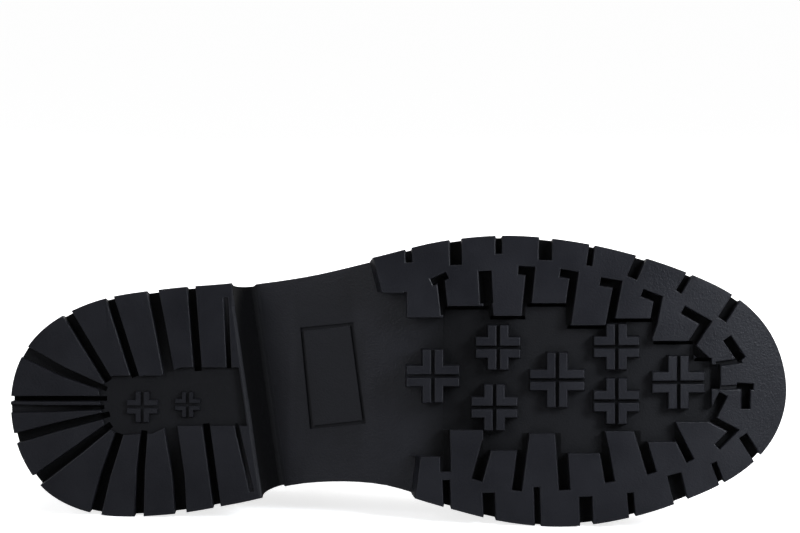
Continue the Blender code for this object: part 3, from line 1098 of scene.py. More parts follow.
LATERAL_GROOVES = (
    Groove(2.2, ((148.8, -39.4), (154.3, -41.9)), 4.7),
    Groove(2.3, ((151.9, -41.0), (153.4, -28.0))),
    Groove(4.3, ((167.6, -43.4), (168.2, -32.0)), 4.8),
    Groove(2.8, ((168.3, -34.0), (169.3, -26.0))),
    Groove(2.8, ((179.4, -43.7), (183.7, -43.4), (182.0, -26.5))),
    Groove(2.6, ((194.2, -42.7), (199.1, -41.9), (196.4, -23.0))),
    Groove(2.6, ((208.4, -39.7), (214.5, -38.7), (211.4, -22.5))),
    Groove(2.5, ((223.2, -35.7), (228.9, -33.5), (227.3, -25.0), (224.4, -17.0))),
    Groove(2.8, ((237.7, -29.7), (245.9, -25.1), (240.4, -16.8), (246.2, -11.4))),
    Groove(3.0, ((253.5, -19.6), (258.8, -12.0))),
    Groove(1.5, ((258.8, -11.6), (249.6, -10.4)), 2.2),
    Groove(3.4, ((249.3, -10.3), (249.3, -1.6)), 6.4),
    Groove(1.4, ((250.0, -1.9), (258.0, -2.3)), 1.6),
    Groove(1.9, ((257.0, -2.7), (263.0, -2.3))),
    Groove(2.9, ((260.4, -3.0), (260.2, 5.5))),
)
MEDIAL_GROOVES = (
    Groove(3.4, ((153.7, 27.5), (153.3, 9.0)), 2.8, 4.0),
    Groove(3.6, ((164.8, 30.5), (168.6, 17.0))),
    Groove(3.2, ((178.9, 34.2), (181.7, 13.0))),
    Groove(3.7, ((195.8, 34.0), (194.4, 13.0))),
    Groove(3.2, ((211.8, 31.2), (210.2, 22.0), (208.0, 12.0))),
    Groove(3.2, ((226.7, 28.2), (221.8, 12.0))),
    Groove(2.6, ((240.4, 23.8), (233.2, 9.6))),
    Groove(3.0, ((252.2, 0.2), (247.6, 9.4)), 6.2),
    Groove(2.2, ((247.0, 8.6), (255.8, 13.2), (250.0, 18.9)), 4.8),
)
LATERAL_LUGS = (
    Lug(140.0, -36.0),
    Lug(153.0, -27.0),
    Lug(169.0, -31.0),
    Lug(182.0, -27.5),
    Lug(196.3, -32.0),
    Lug(211.5, -24.2),
    Lug(226.9, -26.6),
    Lug(241.6, -18.6),
    Lug(248.0, -12.6),
)
MEDIAL_LUGS = (
    Lug(153.0, 22.2),
    Lug(167.0, 12.8),
    Lug(180.8, 20.0),
    Lug(194.6, 14.0),
    Lug(209.0, 21.0),
    Lug(223.0, 13.2),
    Lug(235.0, 17.0),
    Lug(248.0, 10.0),
)
STUDS = (
    Stud(149.2, -6.3, 19.0),
    Stud(172.3, -16.4, 16.0),
    Stud(171.0, 4.8, 16.6),
    Stud(193.2, -4.9, 19.6),
    Stud(214.2, -16.6, 16.4),
    Stud(214.2, 2.6, 16.4),
    Stud(236.2, -4.0, 19.0),
)
PLATE = ((101.9, -23.2), (121.0, -25.1), (125.5, 11.0), (105.4, 13.1))
WAIST_FRONT = ((121.0, -REACH), (129.5, -36.0), (139.5, -36.0), (141.0, 22.2), (143.2, 22.2), (137.0, REACH))
WAIST_MOUTH = ((123.0, -REACH), (131.5, -35.6), (139.5, -35.6), (141.0, 21.9), (145.2, 21.9), (139.0, REACH))
RAMPS = (
    Ramp(139.0, 152.9, -26.9, 22.1, WAIST_FLOOR, WAIST_FLOOR),
    Ramp(152.88, 168.9, -30.9, 12.7, WAIST_FLOOR, 5.6),
    Ramp(168.88, 180.7, -27.4, 19.9, 5.6, 5.1),
)


@dataclass
class Outsole(Component):
    """The moulded rubber unit: lugs, grooves and crosses are cut flat, then it is raised onto the last."""

    # side wall as (height, inset), and how the mesh is cleaned and scored
    side_wall: tuple[tuple[float, float], ...] = (
        (0.0, 0.0), (5.2, 0.92), (9.0, 2.3), (9.5, 2.8), (10.5, 2.95), (11.0, 2.5), (13.5, 2.7),
        (16.1, 2.95), (16.8, 3.25), (17.0, 3.85))
    score: float = 3.0
    sliver: float = 0.01
    weld: float = 0.02

    # open middles, gutters, grooves, and the rounding of what touches the ground
    pool_start: float = 139.0
    pool_depth: float = 5.2
    gutter: float = 1.3
    gutter_depth: float = 7.4
    gutter_start: float = 0.6
    gutter_overlap: float = 0.02
    hub_depth: float = 2.0
    draft: float = 0.5
    draft_share: float = 0.3
    crown: float = 0.35
    crown_segments: int = 2
    crown_angle: float = 0.5
    level: float = 0.1

    # crosses with their slits, and the bare plate
    stud_top: float = 0.3
    heel_stud_top: float = 0.7
    stud_draft: tuple[float, float] = (0.4, 0.6)
    stud_root: float = 0.5
    root: float = 1.0
    slit: float = 1.2
    slit_draft: float = 0.2
    slit_overrun: float = 0.3
    slit_depth: float = 2.4
    heel_slit_rise: float = 0.2
    plate_groove: float = 1.3
    border_width: float = 1.3

    # lip of the heel and the cove behind it; the breast's profile is (distance from the lip, height)
    lip_x: float = 83.7
    lip_slant: float = 0.142
    lip_round: float = 1.3
    lip_segments: int = 3
    lip_angle: float = 0.8
    lip_level: float = 0.05
    lip_near: float = 0.3
    lip_front: float = 110.0
    lip_clear: float = 0.002
    lip_facing: tuple[float, float] = (-0.995, -0.3)
    cove: float = 8.0
    cove_shade: float = 6.0
    cove_facing: float = 0.3
    breast_fall: float = -0.0244
    breast_profile: tuple[tuple[float, float], ...] = (
        (0.0, -3.0), (0.05, 0.0), (0.3, 5.0), (0.8, 9.5), (1.7, 13.4), (2.9, 16.2), (4.4, 18.1),
        (6.0, 19.1), (7.5, 19.45), (9.0, 19.4), (9.0, -3.0))

    # shading, and how dark the painted shade makes the low places
    flat_from: float = 0.93
    sharp: float = 24.0
    wall_skin: float = 4.0
    wall_facing: float = 0.7
    cove_fade: tuple[float, float] = (0.75, 1.35)
    sunk_range: tuple[float, float] = (0.2, 3.2)
    ramp_fade: float = 16.0
    gutter_margin: float = 0.3
    # the plate in the waist and its groove are darkened by this fixed share
    plate_darkening: float = 0.3
    # painted shade on the open middle's floor: its share, largest round the heel-side studs where their
    # shadows fall, and how it fades from there
    pool_shade: float = 0.6
    most_pool_shade: float = 0.8
    shadiest_x: float = 160.0
    pool_shade_fade: tuple[float, float] = (5.0, 24.0)

    def across(self, shift: float) -> list[tuple[float, float]]:
        """The two ends of a line parallel to the lip of the heel breast."""
        return [(self.lip_x + shift + self.lip_slant * y, y) for y in (REACH, -REACH)]

    def past_lip(self, point: Vector) -> float:
        """How far a point lies toewards of the heel's lip."""
        return point.x - self.lip_x - self.lip_slant * point.y

    def pool(self) -> list[tuple[float, float]]:
        """Chart the forepart's open middle.

        Returns:
            The corners of its stepped border.
        """
        sides = []
        for lugs in (LATERAL_LUGS, MEDIAL_LUGS):
            x = self.pool_start
            side = []
            for lug in lugs:
                side += [(x, lug.inner), (lug.x, lug.inner)]
                x = lug.x
            sides.append(side)
        return sides[0] + sides[1][::-1]

    def waist(self, mesh: BMesh) -> None:
        """Draw what is cut away under the waist, and the ramps from there down to the open middle.

        Args:
            mesh: The drawing to add to.
        """
        back = self.across(self.cove)
        floor = [*back, *WAIST_FRONT]
        pillar(mesh, [*back, *WAIST_MOUTH], floor, UNDERGROUND, [WAIST_FLOOR] * len(floor))
        for ramp in RAMPS:
            corners = [(ramp.back, ramp.lateral), (ramp.front, ramp.lateral), (ramp.front, ramp.medial),
                       (ramp.back, ramp.medial)]
            tops = [ramp.back_depth, ramp.front_depth, ramp.front_depth, ramp.back_depth]
            pillar(mesh, corners, corners, UNDERGROUND, tops)

    def floors(self, mesh: BMesh) -> None:
        """Draw the open middles, the gutters along the lateral lugs' inner ends, and the plate's pocket.

        Args:
            mesh: The drawing to add to.
        """
        shaft(mesh, self.pool(), self.pool_depth)
        # the gutters are trenches cut where the lateral lugs' inner ends cast shadow bars on the open middle;
        # they stand in for that shadow, and their floors take full painted shade
        for before, lug in zip(LATERAL_LUGS[1:], LATERAL_LUGS[2:]):
            back, start = before.x + self.gutter_start, lug.inner - self.gutter_overlap
            end = lug.inner + self.gutter
            shaft(mesh, [(back, start), (lug.x, start), (lug.x, end), (back, end)], self.gutter_depth)
        shaft(mesh, HUB, self.hub_depth)
        shaft(mesh, PLATE, WAIST_FLOOR + self.plate_groove)

    def grooves(self, mesh: BMesh) -> None:
        """Draw all grooves, with drafted walls.

        Args:
            mesh: The drawing to add to.
        """
        for groove in HEEL_GROOVES + EDGE_NOTCHES + LATERAL_GROOVES + MEDIAL_GROOVES:
            count = len(groove.line)
            end = groove.end_depth or groove.depth
            depths = [groove.depth + (end - groove.depth) * i / (count - 1) for i in range(count)]
            widths = groove.width, groove.end_width or groove.width
            taper = min(self.draft, min(widths) * self.draft_share)
            mouth = ribbon(groove.line, *(width + taper for width in widths))
            foot = ribbon(groove.line, *(width - taper / 2 for width in widths))
            pillar(mesh, mouth, foot, UNDERGROUND, depths + depths[::-1])

    def raised(self, mesh: BMesh) -> None:
        """Draw what stands up again from the floors: the crosses and the bare plate in the waist.

        Args:
            mesh: The drawing to add to.
        """
        near, far = self.stud_draft
        for studs, top, base in ((STUDS, self.stud_top, WAIST_FLOOR + self.stud_root),
                                 (HEEL_STUDS, self.heel_stud_top, self.hub_depth + self.root)):
            for stud in studs:
                narrow = cross(stud.x, stud.y, stud.size - near, stud.arm - near)
                wide = cross(stud.x, stud.y, stud.size + far, stud.arm + far)
                pillar(mesh, narrow, wide, top, [base] * len(wide))
        middle = sum((Vector(corner) for corner in PLATE), Vector((0.0, 0.0))) / len(PLATE)
        inner = []
        for corner in PLATE:
            border = [math.copysign(self.border_width, side) for side in Vector(corner) - middle]
            inner.append(Vector(corner) - Vector(border))
        pillar(mesh, inner, inner, WAIST_FLOOR, [WAIST_FLOOR + self.plate_groove + self.root] * len(inner))

    def slits(self, mesh: BMesh) -> None:
        """Draw the slits that quarter each cross.

        Args:
            mesh: The drawing to add to.
        """
        for studs, bottom in ((STUDS, self.slit_depth), (HEEL_STUDS, self.hub_depth - self.heel_slit_rise)):
            for stud in studs:
                length = stud.size + self.slit_overrun
                outer = cross(stud.x, stud.y, length, self.slit + self.slit_draft)
                inner = cross(stud.x, stud.y, length, self.slit - self.slit_draft)
                pillar(mesh, outer, inner, UNDERGROUND, [bottom] * len(inner))

    def carved(self) -> bpy.types.Object:
        """Cut the flat unit.

        Returns:
            A working object that holds its mesh.
        """
        body = stand_mesh("work", blank(self.sole, self.side_wall, SOLE_POINTS))
        for draw, carving, overlapping in ((self.waist, Carving.CUT, True), (self.floors, Carving.CUT, True),
                                           (self.grooves, Carving.CUT, True),
                                           (self.raised, Carving.JOIN, False),
                                           (self.slits, Carving.CUT, False)):
            drawn = bmesh.new()
            draw(drawn)
            carve(body, drawn, carving, overlapping)
        return body

    def breast(self) -> BMesh:
        """Draw the cove between the lip of the heel and the waist.

        Returns:
            The solid that is cut away.
        """
        mesh = bmesh.new()
        x, y = self.across(0.0)[1]
        corners = [mesh.verts.new((x + along, y, z - self.breast_fall * REACH))
                   for along, z in self.breast_profile]
        face = mesh.faces.new(corners)
        made = bmesh.ops.extrude_face_region(mesh, geom=[face])["geom"]
        width = 2 * REACH
        bmesh.ops.translate(mesh, vec=(self.lip_slant * width, width, self.breast_fall * width),
                            verts=[item for item in made if isinstance(item, BMVert)])
        return mesh

    def round_lugs(self, mesh: BMesh) -> None:
        """Round the edges of everything that touches the ground.

        Args:
            mesh: The flat outsole.
        """
        edges = [edge for edge in mesh.edges
                 if edge.is_convex and edge.calc_face_angle(0.0) > self.crown_angle
                 and all(vert.co.z < self.stud_top + self.level for vert in edge.verts)]
        round_edges(mesh, edges, self.crown, self.crown_segments)

    def round_lip(self, mesh: BMesh) -> None:
        """Round the lip of the heel breast.

        Args:
            mesh: The bent outsole.
        """
        edges = [edge for edge in mesh.edges
                 if edge.is_convex and edge.calc_face_angle(0.0) > self.lip_angle
                 and all(abs(vert.co.z) < self.lip_level and self.past_lip(vert.co) > -self.lip_near
                         and vert.co.x < self.lip_front for vert in edge.verts)]
        round_edges(mesh, edges, self.lip_round, self.lip_segments)

    def rubber_of(self, face: BMFace) -> Rubber:
        """Choose a face's finish.

        Args:
            face: A face of the bent outsole.

        Returns:
            A paler copy with a painted highlight on the lip's rounding, a shaded copy with weaker specular on
            the cove behind it, and plain elsewhere.
        """
        middle = face.calc_center_median()
        beyond = self.past_lip(middle)
        over_lip = middle.z > self.lip_round
        if over_lip and 0.0 < beyond < self.cove_shade and face.normal.x > self.cove_facing:
            return Rubber.SHADED_COVE
        steepest, flattest = self.lip_facing
        on_lip = abs(beyond) < self.lip_round and self.lip_clear < middle.z < self.lip_round
        if on_lip and steepest < face.normal.z < flattest and face.normal.x > 0:
            return Rubber.LIP_HIGHLIGHT
        return Rubber.PLAIN

    @staticmethod
    def on_plate(point: Vector) -> bool:
        """Whether a point lies over the bare plate in the waist or its groove.

        Args:
            point: The point.

        Returns:
            True inside the plate's pocket, its border included.
        """
        corners = zip(PLATE, PLATE[1:] + PLATE[:1])
        on_border = -0.01
        return all((b[0] - a[0]) * (point.y - a[1]) - (b[1] - a[1]) * (point.x - a[0]) > on_border
                   for a, b in corners)

    def in_pool(self, point: Vector) -> bool:
        """Whether a point of a level face lies on the open middle's floor, not in a groove or gutter.

        Args:
            point: The point.

        Returns:
            True on that floor.
        """
        depth = point.z - self.sole.spring(point.x)
        sunk = point.x > self.pool_start and depth > self.pool_depth - self.level
        return sunk and (depth < self.gutter_depth - self.gutter_margin or point.x < LATERAL_LUGS[1].x)

    def painted_shade(self, x: float) -> float:
        """Share of painted shade on the open middle's floor: most of all round its heel-side studs."""
        near = 1 - ease(abs(x - self.shadiest_x), *self.pool_shade_fade)
        return self.pool_shade + (self.most_pool_shade - self.pool_shade) * near

    def hollow_at(self, point: Vector) -> float:
        """How much painted shade a point of the tread takes.

        Args:
            point: The point.

        Returns:
            From 0 on a lug's face to 1 at the foot of a groove and next to the heel's lip, where the cove's
            painted shade fades out into the waist; the plate takes a fixed share.
        """
        beyond = self.past_lip(point)
        if 0.0 < beyond < 2 * self.cove:
            start, end = self.cove_fade
            return 1.0 - ease(beyond, start * self.cove, end * self.cove)
        if beyond > 0.0 and point.x < self.pool_start:
            return self.plate_darkening if self.on_plate(point) else 0.0
        sunk = ease(point.z - self.sole.spring(point.x), *self.sunk_range)
        if beyond > 0.0:
            sunk *= 1.0 - ease(self.pool_start + self.ramp_fade - point.x, 0.0, self.ramp_fade)
        return sunk

    def mark_hollows(self, mesh: BMesh) -> None:
        """Note on each corner how much painted shade it takes, but for the side wall's.

        Args:
            mesh: The bent outsole.
        """
        hollow_shade = mesh.loops.layers.float.new(HOLLOW_SHADE)
        mesh.normal_update()
        mesh.faces.index_update()
        for face in mesh.faces:
            middle = face.calc_center_median()
            turn = self.sole.turn_of(min(max(middle.x, 0.0), self.sole.length))
            point, outward = self.sole.edge(turn if middle.y < 0 else FULL_TURN - turn)
            inside = (point - middle.xy).dot(outward)
            if inside < self.wall_skin and face.normal.xy.dot(outward) > self.wall_facing:
                continue
            # the open middle's floor takes only a share of the painted shade, largest round its heel-side
            # studs
            open_floor = face.normal.z < -self.flat_from and self.in_pool(middle)
            for loop in face.loops:
                at = self.hollow_at(loop.vert.co)
                loop[hollow_shade] = at * self.painted_shade(loop.vert.co.x) if open_floor else at

    def build(self, effects: Effects) -> None:
        """Cut, round, bend and dress the outsole.

        Args:
            effects: The shared shader groups.
        """
        body = self.carved()
        mesh = bmesh.new()
        mesh.from_mesh(body.data)
        bmesh.ops.dissolve_degenerate(mesh, dist=self.sliver, edges=mesh.edges[:])
        self.round_lugs(mesh)
        bmesh.ops.remove_doubles(mesh, verts=mesh.verts[:], dist=self.weld)
        bend(mesh, self.sole, self.score)
        mesh.to_mesh(body.data)
        mesh.free()
        carve(body, self.breast(), Carving.CUT)
        mesh = bmesh.new()
        mesh.from_mesh(body.data)
        bpy.data.objects.remove(body, do_unlink=True)
        self.round_lip(mesh)
        self.mark_hollows(mesh)
        flat = [face.index for face in mesh.faces if face.normal.z < -self.flat_from]
        for face in mesh.faces:
            face.material_index = self.rubber_of(face).value
        finishes = [finish.material(effects) for finish in (RUBBER, LIP_HIGHLIGHT_RUBBER, SHADED_COVE_RUBBER)]
        outsole = self.place("outsole_lugged", mesh, finishes, "outsole", "sole_rubber", self.sharp)
        for index in flat:
            outsole.data.polygons[index].use_smooth = False


@dataclass
class Welt(Component):
    """The welt between outsole and upper, with its row of stitches."""

    bottom: float = 17.35
    thickness: float = 3.0
    inset: float = 3.4
    rounding: float = 0.6
    corner: float = 0.3  # where a rounded edge passes nearest to its corner, in roundings
    score: float = 4.0
    stitch_inset: float = 5.2
    stitch_steps: int = 360
    stitching: Stitching = Stitching(length=3.4, pitch=4.6, thread=0.8)

    def build(self, effects: Effects) -> None:
        """Build the welt and its thread.

        Args:
            effects: The shared shader groups.
        """
        top = self.bottom + self.thickness
        soft = self.rounding
        near = soft * self.corner
        rings = ((self.bottom, self.inset + soft), (self.bottom + near, self.inset + near),
                 (self.bottom + soft, self.inset), (top - soft, self.inset),
                 (top - near, self.inset + near), (top, self.inset + soft))
        mesh = blank(self.sole, rings, SOLE_POINTS)
        bend(mesh, self.sole, self.score)
        self.place("welt_strip", mesh, [WELT_RUBBER.material(effects)], "welt", "welt_rubber")
        thread = bmesh.new()
        line = []
        for i in range(self.stitch_steps + 1):
            point, _ = self.sole.edge(FULL_TURN * i / self.stitch_steps, self.stitch_inset)
            line.append((Vector((point.x, point.y, top + self.sole.rise(point.x, top))), Vector((0, 0, 1))))
        count = self.stitching.sew(thread, line)
        log.info("welt: %d stitches", count)
        self.place("welt_thread", thread, [THREAD.material(effects)], slot="welt_rubber")


@dataclass
class Insole(Component):
    """The insole board with its leather sock and heel pad."""

    bottom: float = 20.7
    thickness: float = 4.0
    inset: float = 10.4
    points: int = 132
    score: float = 4.0
    top_profile: tuple[tuple[float, float], ...] = (  # (drop below the top, further inset)
        (1.0, 0.0), (0.3, 0.4), (0.0, 1.2), (0.45, 3.0), (0.45, 4.0), (0.1, 4.6))
    pad_x: float = 43.0
    pad_y: float = 4.0
    pad_length: float = 27.0
    pad_width: float = 19.0
    pad_thickness: float = 1.2
    pad_sunk: float = 0.3
    pad_rounding: float = 0.8
    pad_segments: int = 3
    pad_points: int = 64
    pad_score: float = 6.0

    def build(self, effects: Effects) -> None:
        """Build the sock and the heel pad.

        Args:
            effects: The shared shader groups.
        """
        top = self.bottom + self.thickness
        rings = [(self.bottom, self.inset)] + [(top - drop, self.inset + more)
                                               for drop, more in self.top_profile]
        mesh = blank(self.sole, rings, self.points)
        bend(mesh, self.sole, self.score)
        sock = SOCK.material(effects)
        self.place("insole_sock", mesh, [sock], "insole", "insole_lining")
        pad = bmesh.new()
        bmesh.ops.create_circle(pad, cap_ends=True, cap_tris=False, segments=self.pad_points, radius=1.0)
        bmesh.ops.scale(pad, vec=(self.pad_length, self.pad_width, 1.0), verts=pad.verts[:])
        bmesh.ops.translate(pad, vec=(self.pad_x, self.pad_y, top - self.pad_sunk), verts=pad.verts[:])
        made = bmesh.ops.extrude_face_region(pad, geom=pad.faces[:])["geom"]
        raised = [item for item in made if isinstance(item, BMVert)]
        bmesh.ops.translate(pad, vec=(0.0, 0.0, self.pad_thickness), verts=raised)
        bmesh.ops.recalc_face_normals(pad, faces=pad.faces[:])
        rim = [edge for edge in pad.edges if all(vert in raised for vert in edge.verts)]
        round_edges(pad, rim, self.pad_rounding, self.pad_segments, clamp=True)
        bend(pad, self.sole, self.pad_score)
        self.place("insole_heel_pad", pad, [sock], slot="insole_lining")


@dataclass
class Upper(Component):
    """The leather upper with its lining, back strip, apron seam and stitching."""

    # the wall and its collar stitches
    wall_thickness: float = 2.2
    wall_rounding: float = 0.85
    rows: int = 34
    ribs: tuple[int, int, int] = (26, 18, 40)
    rib_stops: tuple[float, float] = (105.0, 148.0)
    weld: float = 0.05
    collar_drop: float = 3.4
    collar_open: float = 0.975
    stitching: Stitching = Stitching()

    # the strip over the back seam
    strip_turn: float = 0.125
    strip_foot: float = 0.012
    strip_drop: float = 0.8
    strip_gap: float = 0.1
    strip_cells: tuple[int, int] = (10, 30)
    strip_thickness: float = 0.85
    strip_rounding: float = 0.3
    strip_row_turn: float = 0.8
    strip_row_foot: float = 0.03
    strip_row_drop: float = 2.4
    strip_row_steps: int = 40

    # the apron's seam
    apron_start: float = 179.0
    apron_v: float = 0.60
    apron_toe_v: float = 0.70
    apron_bend: float = 0.9
    apron_steps: int = 150
    seam_lift: float = 0.15
    seam_radius: float = 1.25
    seam_sides: int = 10
    seam_stitch_lift: float = 1.2
    seam_stitching: Stitching = Stitching(length=4.2, pitch=4.2, thread=0.75, across=True)

    @cached_property
    def turns(self) -> list[float]:
        """Space the ribs, closer together beside the throat.

        Returns:
            Their turns, once round from the heel tip.
        """
        stops = (0.0, *(self.sole.turn_of(x) for x in self.rib_stops), math.pi)
        lateral = []
        for start, end, count in zip(stops, stops[1:], self.ribs):
            lateral += [start + (end - start) * i / count for i in range(count)]
        return lateral + [math.pi] + [FULL_TURN - turn for turn in lateral[:0:-1]] + [FULL_TURN]

    def shell(self) -> BMesh:
        """Draw the outside of the upper as one sheet.

        Returns:
            The sheet.
        """
        turns = self.turns

        def lay_on(u: float, v: float) -> Vector:
            """Point of the last, u round the foot and v from the welt to the rib's top."""
            turn = turns[round(u * (len(turns) - 1))] % FULL_TURN
            return self.last.rib(turn, self.last.collar_v(turn) * v)

        mesh = sheet(len(turns) - 1, self.rows, lay_on)
        bmesh.ops.remove_doubles(mesh, verts=mesh.verts[:], dist=self.weld)
        bmesh.ops.recalc_face_normals(mesh, faces=mesh.faces[:])
        return mesh

    def collar_line(self) -> Line:
        """Draw the stitch line under the collar's edge.

        Returns:
            The line, from the throat round the heel and back.
        """
        open_turns = [turn for turn in self.turns[:-1] if self.last.collar_v(turn) < self.collar_open]
        lateral = [turn for turn in open_turns if turn <= math.pi][::-1]
        medial = [turn for turn in open_turns if turn > math.pi][::-1]
        line = []
        for turn in lateral + medial:
            v = self.last.below_collar(turn, self.collar_drop)
            line.append((self.last.rib(turn, v), self.last.normal(turn, v)))
        return line

    def apron_line(self, lift: float) -> Line:
        """Draw the seam of the apron.

        Args:
            lift: Height over the leather.

        Returns:
            The line, from one end of the strap round the toe to the other.
        """
        start = self.last.turn_to_ridge(self.apron_start)
        line = []
        for i in range(self.apron_steps + 1):
            share = i / self.apron_steps
            turn = start + (FULL_TURN - 2 * start) * share
            towards_toe = ease(1 - abs(2 * share - 1), 0.0, self.apron_bend)
            v = self.apron_v + (self.apron_toe_v - self.apron_v) * towards_toe
            normal = self.last.normal(turn, v)
            line.append((self.last.rib(turn, v) + lift * normal, normal))
        return line

    def strip(self) -> BMesh:
        """Draw the strip over the back seam.

        Returns:
            Its inner side as a sheet.
        """
        def lay_on(u: float, v: float) -> Vector:
            """Find a point of the sheet.

            Args:
                u: How far across, from 0 to 1.
                v: How far up, from 0 to 1.

            Returns:
                The point, just off the upper.
            """
            turn = -self.strip_turn + 2 * self.strip_turn * u
            top = self.last.below_collar(turn % FULL_TURN, self.strip_drop)
            at = self.strip_foot + (top - self.strip_foot) * v
            return self.last.rib(turn, at) + self.strip_gap * self.last.normal(turn, at)

        mesh = sheet(*self.strip_cells, lay_on)
        bmesh.ops.recalc_face_normals(mesh, faces=mesh.faces[:])
        return mesh

    def strip_line(self, side: float) -> Line:
        """Draw the stitch line along one edge of the back strip.

        Args:
            side: -1 or 1, for which edge.

        Returns:
            The line, from the welt up.
        """
        line = []
        turn = side * self.strip_turn * self.strip_row_turn
        top = self.last.below_collar(turn % FULL_TURN, self.strip_row_drop)
        lift = self.strip_gap + self.strip_thickness
        for i in range(self.strip_row_steps + 1):
            v = self.strip_row_foot + (top - self.strip_row_foot) * i / self.strip_row_steps
            normal = self.last.normal(turn, v)
            line.append((self.last.rib(turn, v) + lift * normal, normal))
        return line

    def build(self, effects: Effects) -> None:
        """Build the upper and what is sewn on it.

        Args:
            effects: The shared shader groups.
        """
        leather = LEATHER.material(effects)
        shell = self.place("upper_leather", self.shell(), [leather, LINING.material(effects)], "upper",
                           "upper_leather")
        self.wall(shell, self.wall_thickness, outward=False, rounding=self.wall_rounding, lined=True)
        strip = self.place("back_strip", self.strip(), [leather], slot="upper_leather")
        self.wall(strip, self.strip_thickness, outward=True, rounding=self.strip_rounding)
        seam = rope(self.apron_line(self.seam_lift), self.seam_radius, self.seam_sides)
        self.place("apron_seam", seam, [leather], slot="upper_leather")
        thread = bmesh.new()
        count = sum(self.stitching.sew(thread, line)
                    for line in (self.collar_line(), self.strip_line(-1.0), self.strip_line(1.0)))
        count += self.seam_stitching.sew(thread, self.apron_line(self.seam_stitch_lift))
        log.info("upper: %d stitches", count)
        self.place("upper_thread", thread, [THREAD.material(effects)], slot="upper_leather")


@dataclass
class SaddleStrap(Component):
    """The band over the vamp in front of the throat, with wider wings at the welt."""

    gap: float = 0.35
    thickness: float = 1.8
    rounding: float = 0.5
    cells: tuple[int, int] = (72, 14)
    back: float = 153.0
    front: float = 177.0
    back_wing: float = 22.0
    front_wing: float = 5.0
    wing_end: float = 0.8
    lowest: float = 0.06
    rows: tuple[float, float] = (0.09, 0.91)
    row_end: float = 0.97
    row_steps: int = 120
    row_top: float = 0.995
    stitching: Stitching = Stitching()

    def spot(self, across: float, along: float) -> tuple[float, float]:
        """Find a place on the last under the strap.

        Args:
            across: From -1 at the lateral welt over the ridge to 1 at the medial welt.
            along: From 0 at the strap's back edge to 1 at its front edge.

        Returns:
            The turn and the v.
        """
        share = 1 - abs(across)
        wing = 1 - ease(share, 0.0, self.wing_end)
        back = self.back - self.back_wing * wing
        front = self.front + self.front_wing * wing
        turn = self.last.turn_to_ridge(back + (front - back) * along)
        return (turn if across <= 0 else FULL_TURN - turn), self.lowest + (1 - self.lowest) * share

    def edge_line(self, along: float) -> Line:
        """Draw the stitch line beside one edge of the strap.

        Args:
            along: Where the line runs, from 0 at the strap's back edge to 1 at its front edge.

        Returns:
            The line, from the lateral end to the medial one.
        """
        line = []
        for i in range(self.row_steps + 1):
            across = -self.row_end + 2 * self.row_end * i / self.row_steps
            turn, v = self.spot(across, along)
            v = min(v, self.row_top)
            normal = self.last.normal(turn, v)
            line.append((self.last.rib(turn, v) + (self.gap + self.thickness) * normal, normal))
        return line

    def build(self, effects: Effects) -> None:
        """Build the strap and its two rows of stitches.

        Args:
            effects: The shared shader groups.
        """
        mesh = sheet(*self.cells, lambda u, v: self.last.rib(*self.spot(2 * u - 1, v)))
        lift_off(mesh, self.gap)
        strap = self.place("saddle_strap_leather", mesh, [LEATHER.material(effects)], "saddle_strap",
                           "strap_leather")
        self.wall(strap, self.thickness, outward=True, rounding=self.rounding)
        thread = bmesh.new()
        count = sum(self.stitching.sew(thread, self.edge_line(along)) for along in self.rows)
        log.info("saddle strap: %d stitches", count)
        self.place("saddle_strap_thread", thread, [THREAD.material(effects)], slot="strap_leather")


@dataclass
class Tongue(Component):
    """The tongue, from under the strap up through the throat to its rounded end."""

    thickness: float = 2.0
    rounding: float = 0.6
    below: float = 3.3
    cells: tuple[int, int] = (22, 30)
    back: float = 119.0
    front: float = 170.0
    half_width: float = 26.0
    end_width: float = 0.6
    end_round: float = 12.0
    end_trim: float = 0.45
    end_flat: float = 0.5
    flat_until: float = 140.0

    def lay_on(self, across: float, along: float) -> Vector:
        """Find a point of the last over the tongue.

        Args:
            across: From -1 at its lateral edge to 1 at its medial edge.
            along: From 0 at its free end to 1 at its sewn end.

        Returns:
            The point.
        """
        x = self.back + (self.front - self.back) * along * along * (2 - along)
        rounding = min((x - self.back) / self.end_round, 1.0)
        width = self.end_width + (1 - self.end_width) * math.sqrt(1 - (1 - rounding) ** 2)
        reach = self.half_width * width * abs(across)
        if across > 0:
            reach *= 1 - self.end_trim * (1 - ease(x, self.back, self.back + 2 * self.end_round))
        turn = self.last.turn_to_ridge(x)
        turn = turn if across <= 0 else FULL_TURN - turn
        top = self.last.ridge_point(x)
        point = self.last.rib(turn, self.last.last_v(turn, lambda here: (here - top).length < reach))
        point.z += self.end_flat * (top.z - point.z) * (1 - ease(x, self.back, self.flat_until))
        return point

    def build(self, effects: Effects) -> None:
        """Build the tongue.

        Args:
            effects: The shared shader groups.
        """
        mesh = sheet(*self.cells, lambda u, v: self.lay_on(2 * u - 1, v))
        lift_off(mesh, -self.below)
        tongue = self.place("tongue_leather", mesh, [LEATHER.material(effects), LINING.material(effects)],
                            "tongue", "tongue_leather")
        self.wall(tongue, self.thickness, outward=False, rounding=self.rounding, lined=True)


# ---------------------------------------------------------------------------------------------------------
# Studio
# ---------------------------------------------------------------------------------------------------------

WHITE = (1.0, 1.0, 1.0)


@dataclass(frozen=True)
class Softbox:
    """A square light that faces the shoe, placed by two angles off the tread's own direction."""

    name: str
    sideways: float
    upward: float
    distance: float
    size: float
    power: float
    colour: Colour = WHITE


